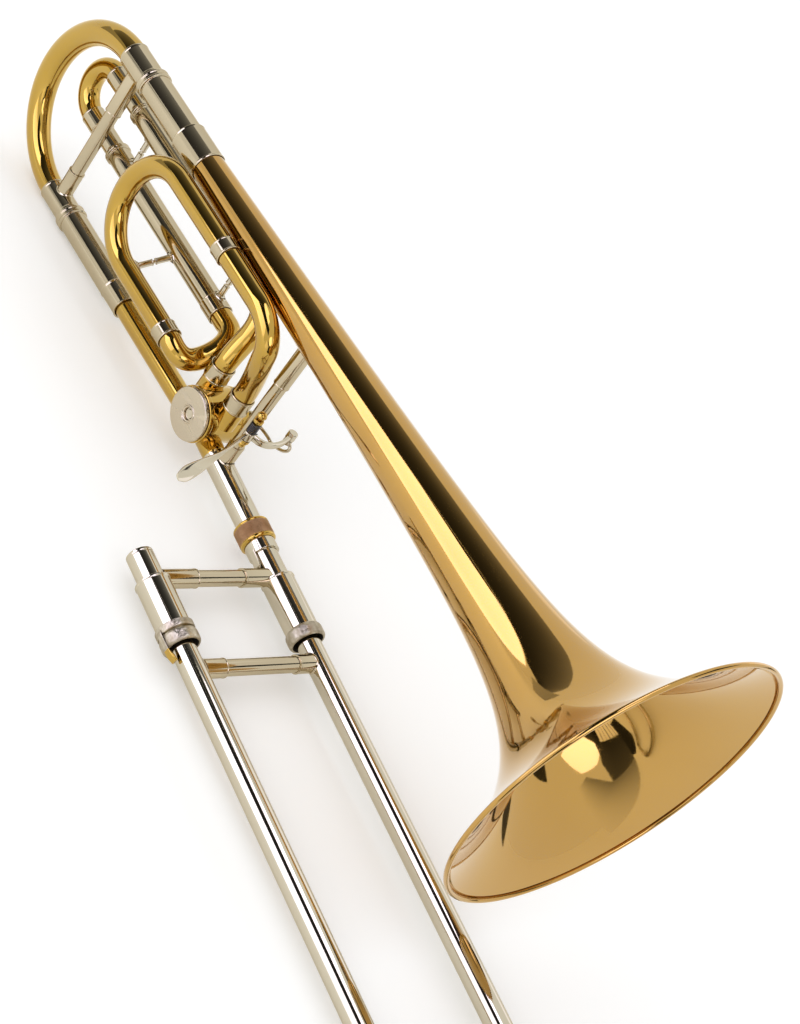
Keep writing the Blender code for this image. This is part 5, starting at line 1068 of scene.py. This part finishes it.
# %% [markdown]
# ## Table
# The horn lies on a white table. Its paint is matt, so it keeps the horn's soft shadow. A little
# light of its own lifts it from pale grey to white, for the camera and for reflections alike, so
# that the metal shows the same white table as the picture does.

# %% White table
def stage_sheet(name, corners, faces, surface):
    """A sheet that belongs to the studio."""
    data = bpy.data.meshes.new(name)
    data.from_pydata(corners, [], faces)
    data.materials.append(surface)
    sheet = bpy.data.objects.new(name, data)
    bpy.context.scene.collection.objects.link(sheet)
    return sheet


WHITE = (1.0, 1.0, 1.0, 1.0)
TABLE_WHITE = (0.86, 0.86, 0.86, 1.0)
LIFT = 0.17
table_paint = bpy.data.materials.new("white table")
table_paint.use_nodes = True
tree = table_paint.node_tree
sight = tree.nodes.new("ShaderNodeLightPath").outputs
seen = sight["Is Camera Ray"]
for other in (sight["Is Glossy Ray"], sight["Is Transmission Ray"]):
    seen = add_node(tree, "Math", "Value", {0: seen, 1: other}, operation="MAXIMUM")
lift = add_node(tree, "Math", "Value", {0: seen, 1: LIFT}, operation="MULTIPLY")
wire(tree, tree.nodes["Principled BSDF"], {
    "Base Color": TABLE_WHITE, "Roughness": 0.9, "Specular IOR Level": 0.1,
    "Emission Color": WHITE, "Emission Strength": lift})
FAR_EDGE = 6.0
edges = [(x * FAR_EDGE, y * FAR_EDGE, 0.0) for x, y in ((-1, -1), (1, -1), (1, 1), (-1, 1))]
stage_sheet("table", edges, [(0, 1, 2, 3)], table_paint)
print("table", 2 * FAR_EDGE, "m wide")

# %% [markdown]
# ## Light
# Bright metal has no look of its own: it shows the room. So the room matters as much as the finish.
# A pale surround gives the even middle tone. White cards draw the light lines along the tubes, and
# black cards beside them draw the dark ones, as in any studio that photographs brass. Each card is a
# patch of a dome round the horn, and cards show in reflections only. The brightest ones are a little
# cool, like daylight in a window. One real softbox stands behind the largest white card and gives the
# shadow on the table its side.

# %% Pale surround and softbox
surround = bpy.data.worlds.new("surround")
surround.use_nodes = True
wire(surround.node_tree, surround.node_tree.nodes["Background"], {"Color": WHITE, "Strength": 1.0})
bpy.context.scene.world = surround
bpy.context.scene.view_settings.view_transform = "Standard"
MIDDLE_OF_DOME = Vector((0.0, 0.0, 0.15))


def on_dome(turn_degrees, height_degrees, distance=1.0):
    """A place on the dome: turned from the back of the scene towards the player's left, and raised."""
    turned_by, raised = radians(turn_degrees), radians(height_degrees)
    way = Vector((sin(turned_by) * cos(raised), cos(turned_by) * cos(raised), sin(raised)))
    return MIDDLE_OF_DOME + way * distance


box_width, box_height, box_brightness = 1.1, 0.7, 1.5
lamp = bpy.data.lights.new("softbox", "AREA")
lamp.shape = "RECTANGLE"
lamp.size = box_width
lamp.size_y = box_height
lamp.energy = box_brightness * pi * box_width * box_height
softbox = bpy.data.objects.new("softbox", lamp)
softbox.location = on_dome(-72.0, 24.0, 1.2)
softbox.rotation_mode = "QUATERNION"
softbox.rotation_quaternion = (MIDDLE_OF_DOME - softbox.location).to_track_quat("-Z", "Y")
softbox.visible_camera = False
softbox.visible_glossy = False
bpy.context.scene.collection.objects.link(softbox)
print("softbox at", [round(value, 2) for value in softbox.location])

# %% Helpers for cards
card_paper = bpy.data.materials.new("card paper")
card_paper.use_nodes = True
paper = card_paper.node_tree
paper.nodes.remove(paper.nodes["Principled BSDF"])
painted = add_node(paper, "Attribute", "Fac", {}, attribute_name="brightness")
daylight = add_node(paper, "MapRange", "Result", {"Value": painted, "From Min": 1.0, "From Max": 2.4})
COOL_WHITE = (1.0, 0.97, 1.32, 1.0)
tint = add_node(paper, "Mix", "Result", {"Factor": daylight, "A": WHITE, "B": COOL_WHITE}, data_type="RGBA")
glow = add_node(paper, "Emission", "Emission", {"Strength": painted, "Color": tint})
wire(paper, paper.nodes["Material Output"], {"Surface": glow})


def card(name, corners, faces, brightness):
    """A sheet seen only in reflections; each corner has its own brightness, where 1 is white."""
    sheet = stage_sheet(name, corners, faces, card_paper)
    layer = sheet.data.attributes.new("brightness", "FLOAT", "POINT")
    layer.data.foreach_set("value", brightness)
    sheet.visible_camera = False
    sheet.visible_shadow = False
    sheet.visible_diffuse = False


COLUMNS = 24
BETWEEN = 6


def dome_card(name, rows, start, end, late=1):
    """A patch of the dome. A row is a height with its first and last turn; start and end are the
    brightness along those two edges, and a high late keeps most of the card at its start."""
    levels = []
    for low, high in zip(rows, rows[1:]):
        for step in range(BETWEEN):
            levels.append([down + (up - down) * step / BETWEEN for down, up in zip(low, high)])
    levels.append(rows[-1])
    wide = COLUMNS + 1
    shares = [column / COLUMNS for column in range(wide)]
    corners = [on_dome(first + (last - first) * share, height)
               for height, first, last in levels for share in shares]
    brightness = [start + (end - start) * share ** late for level in levels for share in shares]
    faces = [(row * wide + at, row * wide + at + 1, (row + 1) * wide + at + 1, (row + 1) * wide + at)
             for row in range(len(levels) - 1) for at in range(COLUMNS)]
    card(name, corners, faces, brightness)


# %% Cards
dome_card("ceiling card", [(5.0, -26.0, -11.0), (12.0, -36.5, 1.0), (30.0, -41.0, 11.0),
                           (42.0, -41.0, 24.0), (50.0, -41.0, 40.0), (58.0, -41.0, 52.0)], 0.03, 0.30, 2)
dome_card("ceiling card's edge", [(-4.0, -27.0, -13.0), (4.9, -32.0, -4.0)], 0.5, 0.4)
dome_card("long card", [(33.5, -122.0, -41.5), (58.0, -122.0, -41.5)], 0.03, 0.02)
dome_card("main diffuser", [(-8.0, -84.0, -56.0), (8.0, -90.0, -37.0), (33.0, -90.0, -42.0)], 1.9, 3.2)
dome_card("overhead diffuser", [(59.0, -100.0, 10.0), (78.0, -100.0, 10.0)], 2.8, 2.8)
dome_card("front diffuser", [(13.5, -152.0, -150.0), (17.0, -165.0, -146.0), (26.0, -175.0, -140.5),
                             (38.0, -175.0, -140.0), (48.0, -175.0, -160.0)], 2.8, 3.2)
dome_card("front card", [(-9.0, -168.0, -134.0), (4.0, -178.0, -134.0), (13.0, -164.0, -134.0),
                         (17.0, -145.0, -134.0), (26.0, -140.0, -135.0)], 0.10, 0.01)
dome_card("front card's slope", [(-9.0, -204.0, -168.1), (4.0, -196.0, -178.1), (13.0, -192.0, -176.0),
                                 (22.0, -186.0, -176.0)], 1.0, 0.30)
dome_card("door edge", [(-9.0, 110.0, 124.0), (4.0, 106.0, 110.0)], 0.08, 0.08)
dome_card("left diffuser", [(-10.0, -146.0, -112.0), (11.0, -146.0, -112.0)], 1.2, 1.7)
dome_card("side diffuser", [(5.5, 58.0, 96.0), (30.0, 58.0, 96.0)], 1.3, 1.5)
dome_card("far card", [(36.0, 104.0, 150.0), (58.0, 104.0, 150.0)], 0.05, 0.05)
on_table = [(-0.80, -0.82), (-0.30, -0.35), (-0.165, -0.43), (-0.165, -0.73), (-0.30, -1.10)]
card("floor card", [(x, y, 0.002) for x, y in on_table], [(0, 1, 2, 3, 4)], [0.03] * 5)
print("13 cards")
